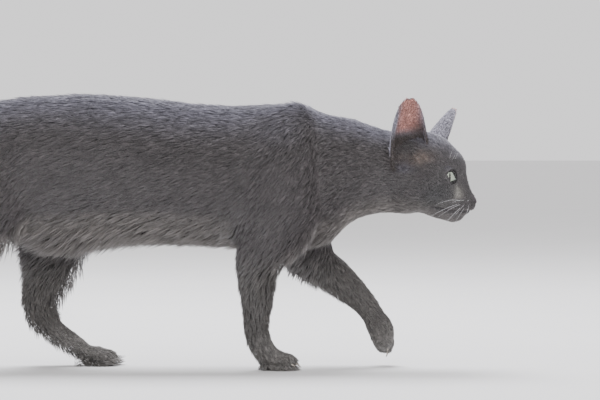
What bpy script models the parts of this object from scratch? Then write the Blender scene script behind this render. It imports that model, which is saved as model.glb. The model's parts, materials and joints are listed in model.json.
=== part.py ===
"""A short-haired grey cat in mid stride, life size, as closed solids that part where a person
would name its parts.

Frame: +X is forward, +Y the cat's left, +Z up, and the floor is at z = 0. The solids reach to the
tips of the coat. The flesh is modelled whole, from lofts and rounded masses that a voxel remesh
joins, and thin cuts then part it. Lengths in the tables are in millimetres, and the names of sides
are the cat's own.
"""

import math

import bmesh
import bpy
import numpy as np
from mathutils import Matrix, Vector

MM = 0.001

# Driving dimensions, in millimetres.
BACK = 245.0  # height of the back
BELLY = 112.0  # height of the belly's fringe
HALF_WIDTH = 52.0  # of the ribs and belly
CROWN = 215.0  # height of the head's top, held low and forward
EYE_RADIUS = 10.3
EAR_THICKNESS = 2.6
EAR_INNER_HOLLOW = 0.16  # how far the ear's inner edge bends in at half height
EAR_WRAP = 112.0  # degrees that each side of the ear's base wraps round its opening
TAIL_RADIUS = 15.0
HEAD_YAW = math.radians(-6.0)  # the face turns a little to its right
HEAD_PIVOT = Vector((100.0, 0.0, 180.0))

# Fineness of the solids.
VOXEL = 2.4
GAP = 0.3  # width of the cuts
RING_SIDES = 28
ROW_STEPS = 3  # rings from each row of a table to the next
FLESH_TRIANGLES = 4000
FACE_FROM = 112.0
CHIN_LEVEL = 120.0
PAW_LEVEL = 30.0
FACE_FINENESS = 0.1
PAW_FINENESS = 0.05
FINENESS_EFFECT = 0.02
SMOOTHING_STEPS = 14
FACE_SMOOTHING = 0.35  # on the face and paws, as a share of the trunk's

RIGHT, LEFT = -1, 1
SIDE_NAMES = {RIGHT: "right", LEFT: "left"}

# The trunk and neck: x, top, bottom, half width.
TRUNK = [
    (-304, BACK - 33, BACK - 47, 8),
    (-299, BACK - 21, BACK - 66, 22),
    (-286, BACK - 11, BACK - 90, 33),
    (-262, BACK - 4, BACK - 112, 0.79 * HALF_WIDTH),
    (-228, BACK + 2, BELLY + 2, 0.87 * HALF_WIDTH),
    (-205, BACK + 3.5, BELLY - 7, 0.9 * HALF_WIDTH),
    (-185, BACK + 4.5, BELLY - 9, 0.92 * HALF_WIDTH),
    (-165, BACK + 4.5, BELLY - 4, 0.96 * HALF_WIDTH),
    (-145, BACK + 3.5, BELLY - 1, 0.99 * HALF_WIDTH),
    (-110, BACK + 0.5, BELLY + 0.5, 1.02 * HALF_WIDTH),
    (-70, BACK - 4, BELLY - 1, HALF_WIDTH),
    (-30, BACK - 6, BELLY - 3, 0.93 * HALF_WIDTH),
    (0, BACK - 4.5, BELLY - 3, 0.86 * HALF_WIDTH),
    (20, BACK - 5, BELLY - 4, 0.79 * HALF_WIDTH),
    (38, BACK - 10, BELLY - 3, 0.72 * HALF_WIDTH),
    (52, BACK - 14, BELLY + 1, 0.68 * HALF_WIDTH),
    (62, BACK - 15.5, BELLY + 12, 0.65 * HALF_WIDTH),
    (74, BACK - 18, BELLY + 22, 0.62 * HALF_WIDTH),
    (88, BACK - 23, BELLY + 26, 0.6 * HALF_WIDTH),
    (102, BACK - 28, BELLY + 27.5, 0.585 * HALF_WIDTH),
    (116, BACK - 31, BELLY + 28.5, 0.58 * HALF_WIDTH),
]
TRUNK_PEAR = 0.07  # how much wider the trunk is below its middle than above it

# The tail's line and radius: x, y, z, radius as a share of TAIL_RADIUS.
TAIL = [
    (-268, 0, 222, 0.9),
    (-288, 0, 222, 1.05),
    (-306, 1, 214, 1.0),
    (-330, 3, 192, 0.92),
    (-355, 8, 160, 0.87),
    (-384, 14, 130, 0.83),
    (-420, 20, 112, 0.8),
    (-458, 24, 110, 0.74),
    (-488, 25, 121, 0.62),
    (-503, 25, 132, 0.38),
]

# The legs, from the body down: x, y, z, half depth along the leg's plane, half width across it.
FORELEG_RIGHT = [
    (8, -14, BACK - 6, 22, 6),
    (9, -18, 232, 26, 9.5),
    (10, -24, 218, 28, 13),
    (10, -32, 198, 28, 17),
    (9, -37, 172, 34, 19),
    (8, -39, 150, 37.5, 19),
    (3, -39, 130, 35.5, 18.5),
    (-6, -38, 113, 29, 17.5),
    (-14, -35.5, 101, 23.5, 16.5),
    (-16, -31, 85, 20, 15.5),
    (-15.8, -25, 62, 16.2, 13.5),
    (-16.7, -20, 47, 13.6, 12),
    (-17, -17.5, 34, 12.2, 11.5),
    (-13.5, -16, 22, 12.2, 12),
    (-8, -15, 13, 11, 12.5),
]
FORELEG_LEFT = [
    (18, 14, BACK - 8, 20, 6),
    (19, 18, 230, 24, 9.5),
    (21, 24, 217, 26, 13),
    (24, 32, 196, 27, 17),
    (27, 37, 170, 31, 19),
    (29, 39, 146, 32, 19),
    (25, 39, 123, 29, 18),
    (24, 38.5, 108, 24, 17.5),
    (36, 37, 96, 21.5, 16.5),
    (50, 35.5, 85.5, 18.8, 15),
    (62, 34, 76, 17, 13.5),
    (76, 32.5, 64, 13.6, 12),
    (87.5, 31.5, 49.5, 11.2, 11.3),
    (93.5, 31, 37, 11, 11.5),
    (98, 30.5, 26, 11, 12),
]
HINDLEG_RIGHT = [
    (-266, -26, 216, 26, 12),
    (-264, -31, 195, 36, 17),
    (-260, -35, 170, 40, 19),
    (-251, -38, 147, 35, 19),
    (-250, -39, 129, 28, 18),
    (-262, -38.5, 114, 22.5, 16.5),
    (-275, -37.7, 104.5, 19, 15),
    (-291, -37, 94, 16, 13.5),
    (-311, -36, 81, 13, 11.5),
    (-322, -35.5, 68, 13.5, 11),
    (-317, -34.5, 51, 11.8, 11),
    (-306, -33, 31, 11, 11.5),
    (-297, -32.5, 16, 10.5, 12),
]
HINDLEG_LEFT = [
    (-268, 26, 214, 26, 12),
    (-256, 31, 196, 36, 17),
    (-238, 35, 174, 40, 19),
    (-216, 38, 151, 38, 19),
    (-203, 39, 129, 35.5, 18.5),
    (-203.5, 39, 107, 35, 18),
    (-205.5, 38.8, 95, 33, 17),
    (-208, 38.5, 84, 29.5, 15.5),
    (-212.5, 38, 68, 22.5, 13),
    (-217, 37.5, 54, 18.5, 11.5),
    (-215.5, 37, 42, 16, 11),
    (-205, 36.5, 31.5, 13, 11),
    (-190.5, 36, 21.5, 11.8, 11.5),
    (-178, 36, 14, 10, 12),
]

# Each paw: heel, turn about Z, pitch of the toes, length from heel to toe, and how thick it is.
PAWS = {
    "forepaw_right": ((-14.5, -15, 0), -3, 0, 36.5, 1.0),
    "forepaw_left": ((83, 30.8, 45), 0, 72, 38.7, 1.18),
    "hindpaw_right": ((-301, -32, 0), -3, 0, 37, 1.0),
    "hindpaw_left": ((-181, 36, 0), 2, 0, 37.5, 1.0),
}
PAW_HALF_WIDTH = 15.5
PALM_HALF_HEIGHT = 10.0
PALM_MIDDLE = (0.38, 0.86)  # as shares of the paw's length and of the palm's half height
PALM_HALF_LENGTH, PALM_HALF_WIDTH = 0.43, 0.84  # as shares of the paw's length and half width
TOE_PLACES = (-1.5, -0.5, 0.5, 1.5)  # across the paw, in toes
TOE_SPACING = 6.8
TOE_FAN = math.radians(6.0)  # from one toe to the next
TOE_HALF_WIDTH = 5.2
TOE_HALF_HEIGHT = 8.9
TOE_HALF_LENGTH = 0.275  # as a share of the paw's length
INNER_TOE, OUTER_TOE = (0.735, 7.2), (0.62, 6.6)  # how far along the paw, and the height

# The head's masses in its own frame, before it turns: centre, radii, pitch in degrees, and whether
# both sides have one.
HEAD_MASSES = {
    "cranium": ((133, 0, CROWN - 31), (36, 31.5, 31), 8, False),
    "forehead": ((150.6, 0, 186.5), (24, 19, 17.5), 24, False),
    "cheek": ((127, 15.5, 167), (30, 23, 25), 0, True),
    "throat": ((116, 0, 159.5), (30, 27, 20.5), 0, False),
    "cheekbone": ((148, 18, 161.5), (18, 13.5, 13.5), 0, True),
    "temple": ((148, 19, 181), (11, 9.5, 9), 0, True),
    "brow": ((159.5, 13, 183.5), (12.5, 9.5, 7.5), 30, True),
    "muzzle": ((161, 0, 158), (16.5, 14.5, 14), 35, False),
    "whisker_pad": ((171.2, 7.8, 149.4), (10.3, 9, 8.8), 20, True),
    "chin": ((159.8, 0, 140.3), (11, 10.5, 8.2), 10, False),
    "jaw": ((148, 0, 148), (22, 18, 12.5), 14, False),
    "nose_tip": ((178.4, 0, 151.2), (5.2, 6, 4.8), 0, False),
}
# The bridge of the nose: x, y, z, half depth, half width.
NOSE_BRIDGE = [
    (159, 0, 183, 12, 12),
    (164.5, 0, 174, 9.2, 9.5),
    (168.5, 0, 165, 7.6, 8.5),
    (172.5, 0, 157, 6.6, 7.8),
    (177, 0, 151.5, 5, 6.5),
]
EYE_PLACE = Vector((154.5, 16.5, 173.5))

# Each ear: middle of its base, tip, the way its cup faces, half the base's width, and which edge is
# the inner one.
EARS = {
    "ear_right": ((122.5, -18, 189), (124, -36, 241.8), (0.34, -0.93, 0.1), 18, 1),
    "ear_left": ((137, 18.5, 195), (159.5, 33.5, 233), (0.72, 0.55, -0.35), 13.5, -1),
}
EAR_ROUNDING = 0.03  # how blunt the tip is
EAR_DEPTH = 0.72  # of the cup at its base, as a share of half its width
EAR_TIP_DEPTH = 0.9
EAR_CUP_FADE = 0.8
EAR_UNROLL = 40.0  # degrees less of wrap at the tip

# The upper legs part from the trunk and the lower legs along a rounded outline in side view, swept
# outwards from LEG_PARTING. For each: its side, and the centres in X and Z and the radii of the
# outline's upper and lower ends.
UPPER_LEGS = {
    "upper_arm_right": (RIGHT, (18, 198), 31, (-14, 114), 34),
    "upper_arm_left": (LEFT, (19, 197), 29, (28, 112), 34),
    "thigh_right": (RIGHT, (-256, 190), 34, (-252, 132), 42),
    "thigh_left": (LEFT, (-256, 192), 36, (-202, 120), 42),
}
LEG_PARTING = 11.0
LEG_REACH = 75.0  # beyond the body's sides
OUTLINE_SIDES = 16

# The flat cuts: middle, the direction across the cut, and the half sizes of the slab.
CUTS = {
    "neck_base": ((60, 0, 184), (1, 0, 0.26), (57, 62)),
    "nape": ((106, 0, 178), (1, -0.1, 0.2), (50, 50)),
    "waist": ((-78, 0, 178), (1, 0, 0.06), (90, 90)),
    "tail_root": ((-324, 2.5, 197), (0.72, -0.1, 0.69), (20, 20)),
    "tail_middle": ((-370, 11, 144), (0.7, -0.15, 0.72), (24, 24)),
    "tail_tip": ((-440, 22.5, 110.5), (1, -0.08, 0.05), (24, 24)),
    "wrist_right": ((-16, -17.5, 31), (-0.1, 0, 1), (22, 18)),
    "wrist_left": ((89.5, 31.5, 47), (-0.42, 0, 0.9), (22, 18)),
    "hock_right": ((-320, -35.5, 70), (0.38, 0, 0.92), (22, 18)),
    "hock_left": ((-214, 37.5, 50), (0.1, 0, 1), (26, 20)),
}
# The mouth's line, from in front of the lips, back past their corner and down to the throat: x, z.
MOUTH = [(200, 145), (172, 143), (154, 145.5), (140, 147.5), (128, 142), (118, 120)]

# Roughly the middle of each part that the cuts leave.
PART_PLACES = {
    "head": (140, -3, 178),
    "lower_jaw": (152, -4, 140),
    "neck": (81, 0, 182),
    "chest": (-4, 0, 168),
    "loins": (-204, 0, 176),
    "tail_root": (-347, 6, 171),
    "tail_middle": (-401, 16, 125),
    "tail_tip": (-472, 23, 116),
    "upper_arm_right": (0, -35, 155),
    "forearm_right": (-16, -26, 59),
    "forepaw_right": (-3, -16, 16),
    "upper_arm_left": (26, 34, 154),
    "forearm_left": (62, 36, 72),
    "forepaw_left": (95, 31, 31),
    "thigh_right": (-252, -34, 159),
    "shank_right": (-296, -38, 90),
    "hindpaw_right": (-299, -33, 38),
    "thigh_left": (-226, 34, 153),
    "shank_left": (-203, 38, 70),
    "hindpaw_left": (-188, 37, 26),
}

COAT_COLOUR = (0.155, 0.15, 0.16, 1)
EYE_COLOUR = (0.3, 0.36, 0.28, 1)


def clear_scene():
    """Removes every object that the startup file holds."""
    for obj in list(bpy.data.objects):
        bpy.data.objects.remove(obj)


def finish(name, colour, roughness):
    """A plain material of one colour."""
    material = bpy.data.materials.new(name)
    material.use_nodes = True
    shader = material.node_tree.nodes["Principled BSDF"]
    shader.inputs["Base Color"].default_value = colour
    shader.inputs["Roughness"].default_value = roughness
    shader.inputs["Metallic"].default_value = 0.0
    return material


def new_object(name, bm, material=None):
    """The bmesh as an object in the scene, its lengths turned from millimetres to metres."""
    mesh = bpy.data.meshes.new(name)
    bmesh.ops.scale(bm, vec=(MM, MM, MM), verts=bm.verts)
    bm.to_mesh(mesh)
    bm.free()
    obj = bpy.data.objects.new(name, mesh)
    bpy.context.scene.collection.objects.link(obj)
    if material:
        mesh.materials.append(material)
    return obj


def baked(obj):
    """Replaces the object's mesh by what its modifiers make of it."""
    bpy.context.view_layer.update()
    graph = bpy.context.evaluated_depsgraph_get()
    mesh = bpy.data.meshes.new_from_object(obj.evaluated_get(graph))
    obj.modifiers.clear()
    obj.data = mesh
    return obj


def smooth_rows(rows, steps):
    """Rows read from the smooth curve through the given ones, in this many steps from row to row."""
    rows = np.array(rows, float)
    chord = np.linalg.norm(np.diff(rows[:, :3], axis=0), axis=1)
    at = np.concatenate([[0], np.cumsum(np.maximum(chord, 1e-6))])
    slope = np.gradient(rows, at, axis=0)
    made = []
    for i in range(len(rows) - 1):
        run = at[i + 1] - at[i]
        for t in np.arange(steps) / steps:
            made.append(
                (2 * t**3 - 3 * t**2 + 1) * rows[i]
                + (t**3 - 2 * t**2 + t) * run * slope[i]
                + (3 * t**2 - 2 * t**3) * rows[i + 1]
                + (t**3 - t**2) * run * slope[i + 1]
            )
    return np.array(made + [rows[-1]])


def bridge_rings(bm, rings):
    """Joins rings of vertices into a tube. The first and last rings carry their own caps."""
    for near, far in zip(rings, rings[1:]):
        edges = [e for ring in (near, far) for e in ring]
        bmesh.ops.bridge_loops(bm, edges=edges)


def add_ring(bm, place, capped):
    """A ring of vertices, each moved by place(cosine, sine). Returns its edges."""
    made = bmesh.ops.create_circle(bm, cap_ends=capped, segments=RING_SIDES, radius=1)
    verts = made["verts"]
    for vert in verts:
        vert.co = place(vert.co.x, vert.co.y)
    ring = set(verts)
    return [e for e in {e for v in verts for e in v.link_edges} if set(e.verts) <= ring]


def add_trunk(bm):
    """The trunk and neck, lofted along X."""
    rows = [(x, 0, 0, top, bottom, wide) for x, top, bottom, wide in TRUNK]
    rows = smooth_rows(rows, ROW_STEPS)
    rings = []
    for i, (x, _, _, top, bottom, wide) in enumerate(rows):
        middle, half = (top + bottom) / 2, (top - bottom) / 2

        def place(c, s):
            return Vector((x, wide * c * (1 - TRUNK_PEAR * s), middle + half * s))

        rings.append(add_ring(bm, place, i in (0, len(rows) - 1)))
    bridge_rings(bm, rings)


def add_limb(bm, table):
    """A leg, tail or nose bridge, lofted along its line: x, y, z, half depth, half width."""
    rows = smooth_rows(table, ROW_STEPS)
    along = np.gradient(rows[:, :3], axis=0)
    rings = []
    for i, (row, run) in enumerate(zip(rows, along)):
        centre, run = Vector(row[:3]), Vector(run).normalized()
        deep = run.cross(Vector((0, 1, 0))).normalized() * row[3]
        wide = deep.cross(run).normalized() * row[4]

        def place(c, s):
            return centre + deep * c + wide * s

        rings.append(add_ring(bm, place, i in (0, len(rows) - 1)))
    bridge_rings(bm, rings)


def add_mass(bm, centre, radii, turn=Matrix.Identity(4)):
    """An ellipsoid."""
    matrix = Matrix.Translation(centre) @ turn @ Matrix.Diagonal((*radii, 1))
    bmesh.ops.create_uvsphere(bm, u_segments=28, v_segments=16, radius=1, matrix=matrix)


def add_paw(bm, heel, turn, pitch, length, thick):
    """A paw, with its palm and four toes, from its heel forward."""
    turned = Matrix.Rotation(math.radians(turn), 4, "Z")
    turned = turned @ Matrix.Rotation(math.radians(pitch), 4, "Y")
    frame = Matrix.Translation(heel) @ turned @ Matrix.Diagonal((1, 1, thick, 1))
    along, up = PALM_MIDDLE
    palm = frame @ Vector((along * length, 0, up * PALM_HALF_HEIGHT))
    half_length, half_width = PALM_HALF_LENGTH * length, PALM_HALF_WIDTH * PAW_HALF_WIDTH
    add_mass(bm, palm, (half_length, half_width, thick * PALM_HALF_HEIGHT), turned)
    for place in TOE_PLACES:
        along, height = INNER_TOE if abs(place) < 1 else OUTER_TOE
        centre = frame @ Vector((along * length, TOE_SPACING * place, height))
        fan = Matrix.Rotation(TOE_FAN * place, 4, "Z")
        half_sizes = (TOE_HALF_LENGTH * length, TOE_HALF_WIDTH, thick * TOE_HALF_HEIGHT)
        add_mass(bm, centre, half_sizes, turned @ fan)


def head_frame():
    """The turn of the head about its pivot."""
    return (
        Matrix.Translation(HEAD_PIVOT)
        @ Matrix.Rotation(HEAD_YAW, 4, "Z")
        @ Matrix.Translation(-HEAD_PIVOT)
    )


def add_head(bm):
    """The head's masses and the bridge of the nose, turned with the head."""
    head = bmesh.new()
    for centre, radii, pitch, paired in HEAD_MASSES.values():
        turn = Matrix.Rotation(math.radians(pitch), 4, "Y")
        for side in (RIGHT, LEFT) if paired else (LEFT,):
            place = Vector((centre[0], side * centre[1], centre[2]))
            add_mass(head, place, radii, turn)
    add_limb(head, NOSE_BRIDGE)
    bmesh.ops.transform(head, matrix=head_frame(), verts=head.verts)
    mesh = bpy.data.meshes.new("head_masses")
    head.to_mesh(mesh)
    head.free()
    bm.from_mesh(mesh)
    bpy.data.meshes.remove(mesh)


def fineness(place):
    """How finely the mesh is kept at a place in metres: most on the face, then on the paws."""
    x, _, z = place / MM
    if x > FACE_FROM and z > CHIN_LEVEL:
        return FACE_FINENESS
    return PAW_FINENESS if z < PAW_LEVEL else 0.0


def make_flesh():
    """The whole body but the ears and eyes, as one smooth closed mesh that stands flat on the floor."""
    bm = bmesh.new()
    add_trunk(bm)
    tail_rows = [(x, y, z, r * TAIL_RADIUS, r * TAIL_RADIUS) for x, y, z, r in TAIL]
    add_limb(bm, tail_rows)
    for leg in (FORELEG_RIGHT, FORELEG_LEFT, HINDLEG_RIGHT, HINDLEG_LEFT):
        add_limb(bm, leg)
    for paw in PAWS.values():
        add_paw(bm, *paw)
    add_head(bm)
    bmesh.ops.recalc_face_normals(bm, faces=bm.faces)
    flesh = new_object("flesh", bm)

    remesh = flesh.modifiers.new("join", "REMESH")
    remesh.mode = "VOXEL"
    remesh.voxel_size = VOXEL * MM
    baked(flesh)

    soft = flesh.vertex_groups.new(name="soft")
    fine = flesh.vertex_groups.new(name="fine")
    for vert in flesh.data.vertices:
        keep = fineness(vert.co)
        soft.add([vert.index], FACE_SMOOTHING if keep else 1.0, "REPLACE")
        fine.add([vert.index], keep, "REPLACE")
    smooth = flesh.modifiers.new("blend", "SMOOTH")
    smooth.factor = 0.5
    smooth.iterations = SMOOTHING_STEPS
    smooth.vertex_group = "soft"
    triangles = 2 * len(flesh.data.polygons)
    thin = flesh.modifiers.new("thin", "DECIMATE")
    thin.ratio = FLESH_TRIANGLES / triangles
    thin.vertex_group = "fine"
    thin.vertex_group_factor = FINENESS_EFFECT
    thin.invert_vertex_group = True
    baked(flesh)
    return stand_flat(flesh)


def stand_flat(obj):
    """Cuts the soles flat at the floor."""
    bm = bmesh.new()
    bm.from_mesh(obj.data)
    geometry = bm.verts[:] + bm.edges[:] + bm.faces[:]
    cut = bmesh.ops.bisect_plane(
        bm, geom=geometry, plane_co=(0, 0, 0), plane_no=(0, 0, 1), clear_inner=True
    )
    rim = [g for g in cut["geom_cut"] if isinstance(g, bmesh.types.BMEdge)]
    bmesh.ops.edgeloop_fill(bm, edges=rim)
    bmesh.ops.recalc_face_normals(bm, faces=bm.faces)
    bm.to_mesh(obj.data)
    bm.free()
    return obj


def as_cutter(obj):
    """Marks a helper that the solids are cut with."""
    obj.hide_render = True
    obj.display_type = "WIRE"
    return obj


def cut_by(obj, cutter):
    """Takes the cutter's shape away from the object."""
    cut = obj.modifiers.new(cutter.name, "BOOLEAN")
    cut.operation = "DIFFERENCE"
    cut.solver = "EXACT"
    cut.object = cutter


def slab_cutter(name, middle, across, half_sizes):
    """A flat slab as thick as the gap."""
    bm = bmesh.new()
    turn = Vector(across).normalized().to_track_quat("X", "Z").to_matrix().to_4x4()
    size = Matrix.Diagonal((GAP, 2 * half_sizes[1], 2 * half_sizes[0], 1))
    bmesh.ops.create_cube(bm, size=1, matrix=Matrix.Translation(middle) @ turn @ size)
    return as_cutter(new_object("cut_" + name, bm))


def upper_leg_cutter(name, side, top, top_radius, bottom, bottom_radius):
    """A thin shell round an upper leg. What lies inside it parts from what lies outside."""
    bm = bmesh.new()
    for room in (GAP / 2, -GAP / 2):
        layer = bmesh.new()
        for (x, z), radius in ((top, top_radius), (bottom, bottom_radius)):
            for y in (side * (LEG_PARTING - room), side * (LEG_REACH + room)):
                turn = Matrix.Rotation(math.pi / 2, 4, "X")
                matrix = Matrix.Translation((x, y, z)) @ turn
                bmesh.ops.create_circle(
                    layer, segments=OUTLINE_SIDES, radius=radius + room, matrix=matrix
                )
        hull = bmesh.ops.convex_hull(layer, input=layer.verts[:])
        spare = [g for g in hull["geom_interior"] if isinstance(g, bmesh.types.BMVert)]
        bmesh.ops.delete(layer, geom=spare, context="VERTS")
        bmesh.ops.recalc_face_normals(layer, faces=layer.faces)
        if room < 0:
            bmesh.ops.reverse_faces(layer, faces=layer.faces)
        mesh = bpy.data.meshes.new(name)
        layer.to_mesh(mesh)
        layer.free()
        bm.from_mesh(mesh)
        bpy.data.meshes.remove(mesh)
    return as_cutter(new_object("cut_" + name, bm))


def mouth_cutter():
    """A ribbon as thick as the gap along the mouth's line, which parts the lower jaw."""
    bm = bmesh.new()
    line = [bm.verts.new((x, -60, z)) for x, z in MOUTH]
    edges = [bm.edges.new(pair) for pair in zip(line, line[1:])]
    ribbon = bmesh.ops.extrude_edge_only(bm, edges=edges)
    moved = [g for g in ribbon["geom"] if isinstance(g, bmesh.types.BMVert)]
    bmesh.ops.translate(bm, verts=moved, vec=(0, 120, 0))
    bmesh.ops.recalc_face_normals(bm, faces=bm.faces)
    bmesh.ops.solidify(bm, geom=bm.faces[:], thickness=GAP)
    bmesh.ops.transform(bm, matrix=head_frame(), verts=bm.verts)
    bmesh.ops.recalc_face_normals(bm, faces=bm.faces)
    return as_cutter(new_object("cut_mouth", bm))


def loose_parts(bm):
    """The faces of each part that holds together."""
    left, parts = set(bm.faces), []
    while left:
        part, edge = set(), [left.pop()]
        while edge:
            face = edge.pop()
            part.add(face)
            for near in {f for v in face.verts for f in v.link_faces} & left:
                left.discard(near)
                edge.append(near)
        parts.append(part)
    return parts


def middle_of(part):
    """The middle of a part's box, in millimetres."""
    points = np.array([v.co for f in part for v in f.verts]) / MM
    return (points.min(axis=0) + points.max(axis=0)) / 2


def part_flesh(flesh, coat):
    """Cuts the flesh and makes a named object of each part."""
    for name, row in UPPER_LEGS.items():
        cut_by(flesh, upper_leg_cutter(name, *row))
    for name, row in CUTS.items():
        cut_by(flesh, slab_cutter(name, *row))
    cut_by(flesh, mouth_cutter())
    baked(flesh)
    whole = bmesh.new()
    whole.from_mesh(flesh.data)
    parts = loose_parts(whole)
    middles = [Vector(middle_of(part)) for part in parts]
    pairs = sorted(
        ((Vector(place) - middle).length, name, i)
        for name, place in PART_PLACES.items()
        for i, middle in enumerate(middles)
    )
    made, taken = {}, set()
    for _, name, i in pairs:
        if name not in made and i not in taken:
            made[name] = keep_faces(flesh.data, [f.index for f in parts[i]], name, coat)
            taken.add(i)
    whole.free()
    bpy.data.objects.remove(flesh)
    return made


def keep_faces(mesh, kept, name, material):
    """A new object that holds only these faces of the mesh, as triangles."""
    bm = bmesh.new()
    bm.from_mesh(mesh)
    kept = set(kept)
    bmesh.ops.delete(bm, geom=[f for f in bm.faces if f.index not in kept], context="FACES")
    bmesh.ops.remove_doubles(bm, verts=bm.verts, dist=2e-6)
    bmesh.ops.triangulate(bm, faces=bm.faces)
    bmesh.ops.scale(bm, vec=(1 / MM,) * 3, verts=bm.verts)
    return new_object(name, bm, material)


def make_ear(name, base, tip, faces, half_width, inner, coat):
    """An ear: a leaf that is rolled into a cup at its base and flattens to its rounded tip."""
    base, tip = Vector(base), Vector(tip)
    up = (tip - base).normalized()
    facing = Vector(faces)
    facing = (facing - up * facing.dot(up)).normalized()
    across = up.cross(facing).normalized()
    height = (tip - base).length
    bm = bmesh.new()
    bmesh.ops.create_grid(bm, x_segments=8, y_segments=7, size=1)
    for vert in bm.verts:
        roll, rise = vert.co.x, (vert.co.y + 1) / 2
        wide = half_width * math.sqrt(max(1 - rise**2, EAR_ROUNDING))
        if roll * inner > 0:
            wide *= 1 - EAR_INNER_HOLLOW * math.sin(math.pi * rise)
        cup = EAR_DEPTH * half_width * (1 - rise) ** EAR_CUP_FADE + EAR_TIP_DEPTH
        reach = math.radians(EAR_WRAP - EAR_UNROLL * rise)
        angle = roll * reach
        out = across * wide * math.sin(angle) / math.sin(min(reach, math.pi / 2))
        back = facing * cup * (math.cos(angle) - 0.3)
        vert.co = base + up * height * rise + out - back
    bmesh.ops.recalc_face_normals(bm, faces=bm.faces)
    ear = new_object(name, bm, coat)
    wall = ear.modifiers.new("wall", "SOLIDIFY")
    wall.thickness = EAR_THICKNESS * MM
    wall.offset = 0
    return baked(ear)


def swollen_copy(obj, by, name):
    """A helper: a copy of the object, moved out along its normals."""
    bm = bmesh.new()
    bm.from_mesh(obj.data)
    bm.normal_update()
    moves = [(vert, vert.normal * by * MM) for vert in bm.verts]
    for vert, move in moves:
        vert.co += move
    bmesh.ops.scale(bm, vec=(1 / MM,) * 3, verts=bm.verts)
    return as_cutter(new_object(name, bm))


def largest_part(obj):
    """Keeps the part of an object with the most faces, where a cut has left crumbs."""
    bm = bmesh.new()
    bm.from_mesh(obj.data)
    parts = sorted(loose_parts(bm), key=len)
    for crumb in parts[:-1]:
        bmesh.ops.delete(bm, geom=list(crumb), context="FACES")
    bmesh.ops.triangulate(bm, faces=bm.faces)
    bm.to_mesh(obj.data)
    bm.free()
    return obj


def make_ears(head, coat):
    """Both ears, each ending at the head with a gap."""
    scalp = swollen_copy(head, GAP, "scalp")
    ears = []
    for name, row in EARS.items():
        ear = make_ear(name, *row, coat)
        cut_by(ear, scalp)
        ears.append(largest_part(baked(ear)))
    return ears


def make_eyes(head, iris):
    """Both eyes, and their sockets in the head."""
    eyes = []
    for side, side_name in SIDE_NAMES.items():
        place = head_frame() @ Vector((EYE_PLACE.x, side * EYE_PLACE.y, EYE_PLACE.z))
        for name, radius in (("socket_", EYE_RADIUS + GAP), ("eye_", EYE_RADIUS)):
            bm = bmesh.new()
            bmesh.ops.create_uvsphere(
                bm, u_segments=12, v_segments=8, radius=radius, matrix=Matrix.Translation(place)
            )
            obj = new_object(name + side_name, bm, iris)
            if name == "socket_":
                cut_by(head, as_cutter(obj))
            else:
                eyes.append(obj)
    largest_part(baked(head))
    return eyes


def centre_on_floor(parts):
    """Moves the parts so that the middle of their common box is over the origin."""
    points = np.array([v.co for part in parts for v in part.data.vertices])
    middle = (points.min(axis=0) + points.max(axis=0)) / 2
    for part in parts:
        part.data.transform(Matrix.Translation((-middle[0], -middle[1], 0)))


def main():
    """Builds the cat."""
    clear_scene()
    coat = finish("coat", COAT_COLOUR, 0.85)
    iris = finish("eye", EYE_COLOUR, 0.1)
    parts = part_flesh(make_flesh(), coat)
    eyes = make_eyes(parts["head"], iris)
    ears = make_ears(parts["head"], coat)
    solids = [*parts.values(), *eyes, *ears]
    for obj in list(bpy.data.objects):
        if obj not in solids:
            bpy.data.objects.remove(obj)
    for obj in solids:
        obj.data.shade_smooth()
    centre_on_floor(solids)


main()
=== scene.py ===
"""The looks of a short-haired blue-grey cat in mid stride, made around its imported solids.

One skin takes the place of the solids of flesh and lies under the coat by the coat's depth. The
coat is thousands of fine closed tufts that follow the lie of the hair. The frame is that of the
solids: metres, +X towards the face, +Y the cat's left, +Z up, with the floor at z = 0.
"""

import sys

import json
import logging
import math
from collections.abc import Callable
from dataclasses import dataclass, field
from enum import Enum

import bmesh
import bpy
import numpy as np
from mathutils import Matrix, Vector
from mathutils.kdtree import KDTree

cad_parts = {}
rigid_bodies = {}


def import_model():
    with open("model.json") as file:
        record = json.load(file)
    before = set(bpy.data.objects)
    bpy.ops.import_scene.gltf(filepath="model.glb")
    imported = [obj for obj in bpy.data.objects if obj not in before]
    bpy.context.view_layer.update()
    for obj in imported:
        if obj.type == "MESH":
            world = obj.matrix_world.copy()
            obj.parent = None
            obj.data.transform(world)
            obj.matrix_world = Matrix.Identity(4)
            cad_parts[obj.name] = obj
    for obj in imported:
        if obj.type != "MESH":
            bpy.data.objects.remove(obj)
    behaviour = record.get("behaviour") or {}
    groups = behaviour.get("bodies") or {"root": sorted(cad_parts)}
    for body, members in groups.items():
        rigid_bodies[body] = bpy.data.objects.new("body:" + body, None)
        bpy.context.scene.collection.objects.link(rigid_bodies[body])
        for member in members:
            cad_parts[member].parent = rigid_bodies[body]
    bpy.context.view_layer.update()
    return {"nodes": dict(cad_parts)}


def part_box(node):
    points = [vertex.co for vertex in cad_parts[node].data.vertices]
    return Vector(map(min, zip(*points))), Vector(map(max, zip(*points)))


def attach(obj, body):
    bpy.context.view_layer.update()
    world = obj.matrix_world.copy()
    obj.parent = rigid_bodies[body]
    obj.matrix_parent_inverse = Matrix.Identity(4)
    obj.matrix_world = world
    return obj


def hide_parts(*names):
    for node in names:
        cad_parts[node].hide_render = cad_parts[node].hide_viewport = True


for spare in list(bpy.data.objects):
    bpy.data.objects.remove(spare)
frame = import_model()
LOG = logging.getLogger("cat")

MM = 0.001
EYES = ("eye_right", "eye_left")
EARS = ("ear_right", "ear_left")
PAWS = ("forepaw_right", "hindpaw_left", "hindpaw_right", "forepaw_left")
FLESH = tuple(sorted(set(frame["nodes"]) - set(EYES)))
SPREAD = ("length", "width", "belly")  # values kept at each vertex of the skin
SEED = 74


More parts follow.
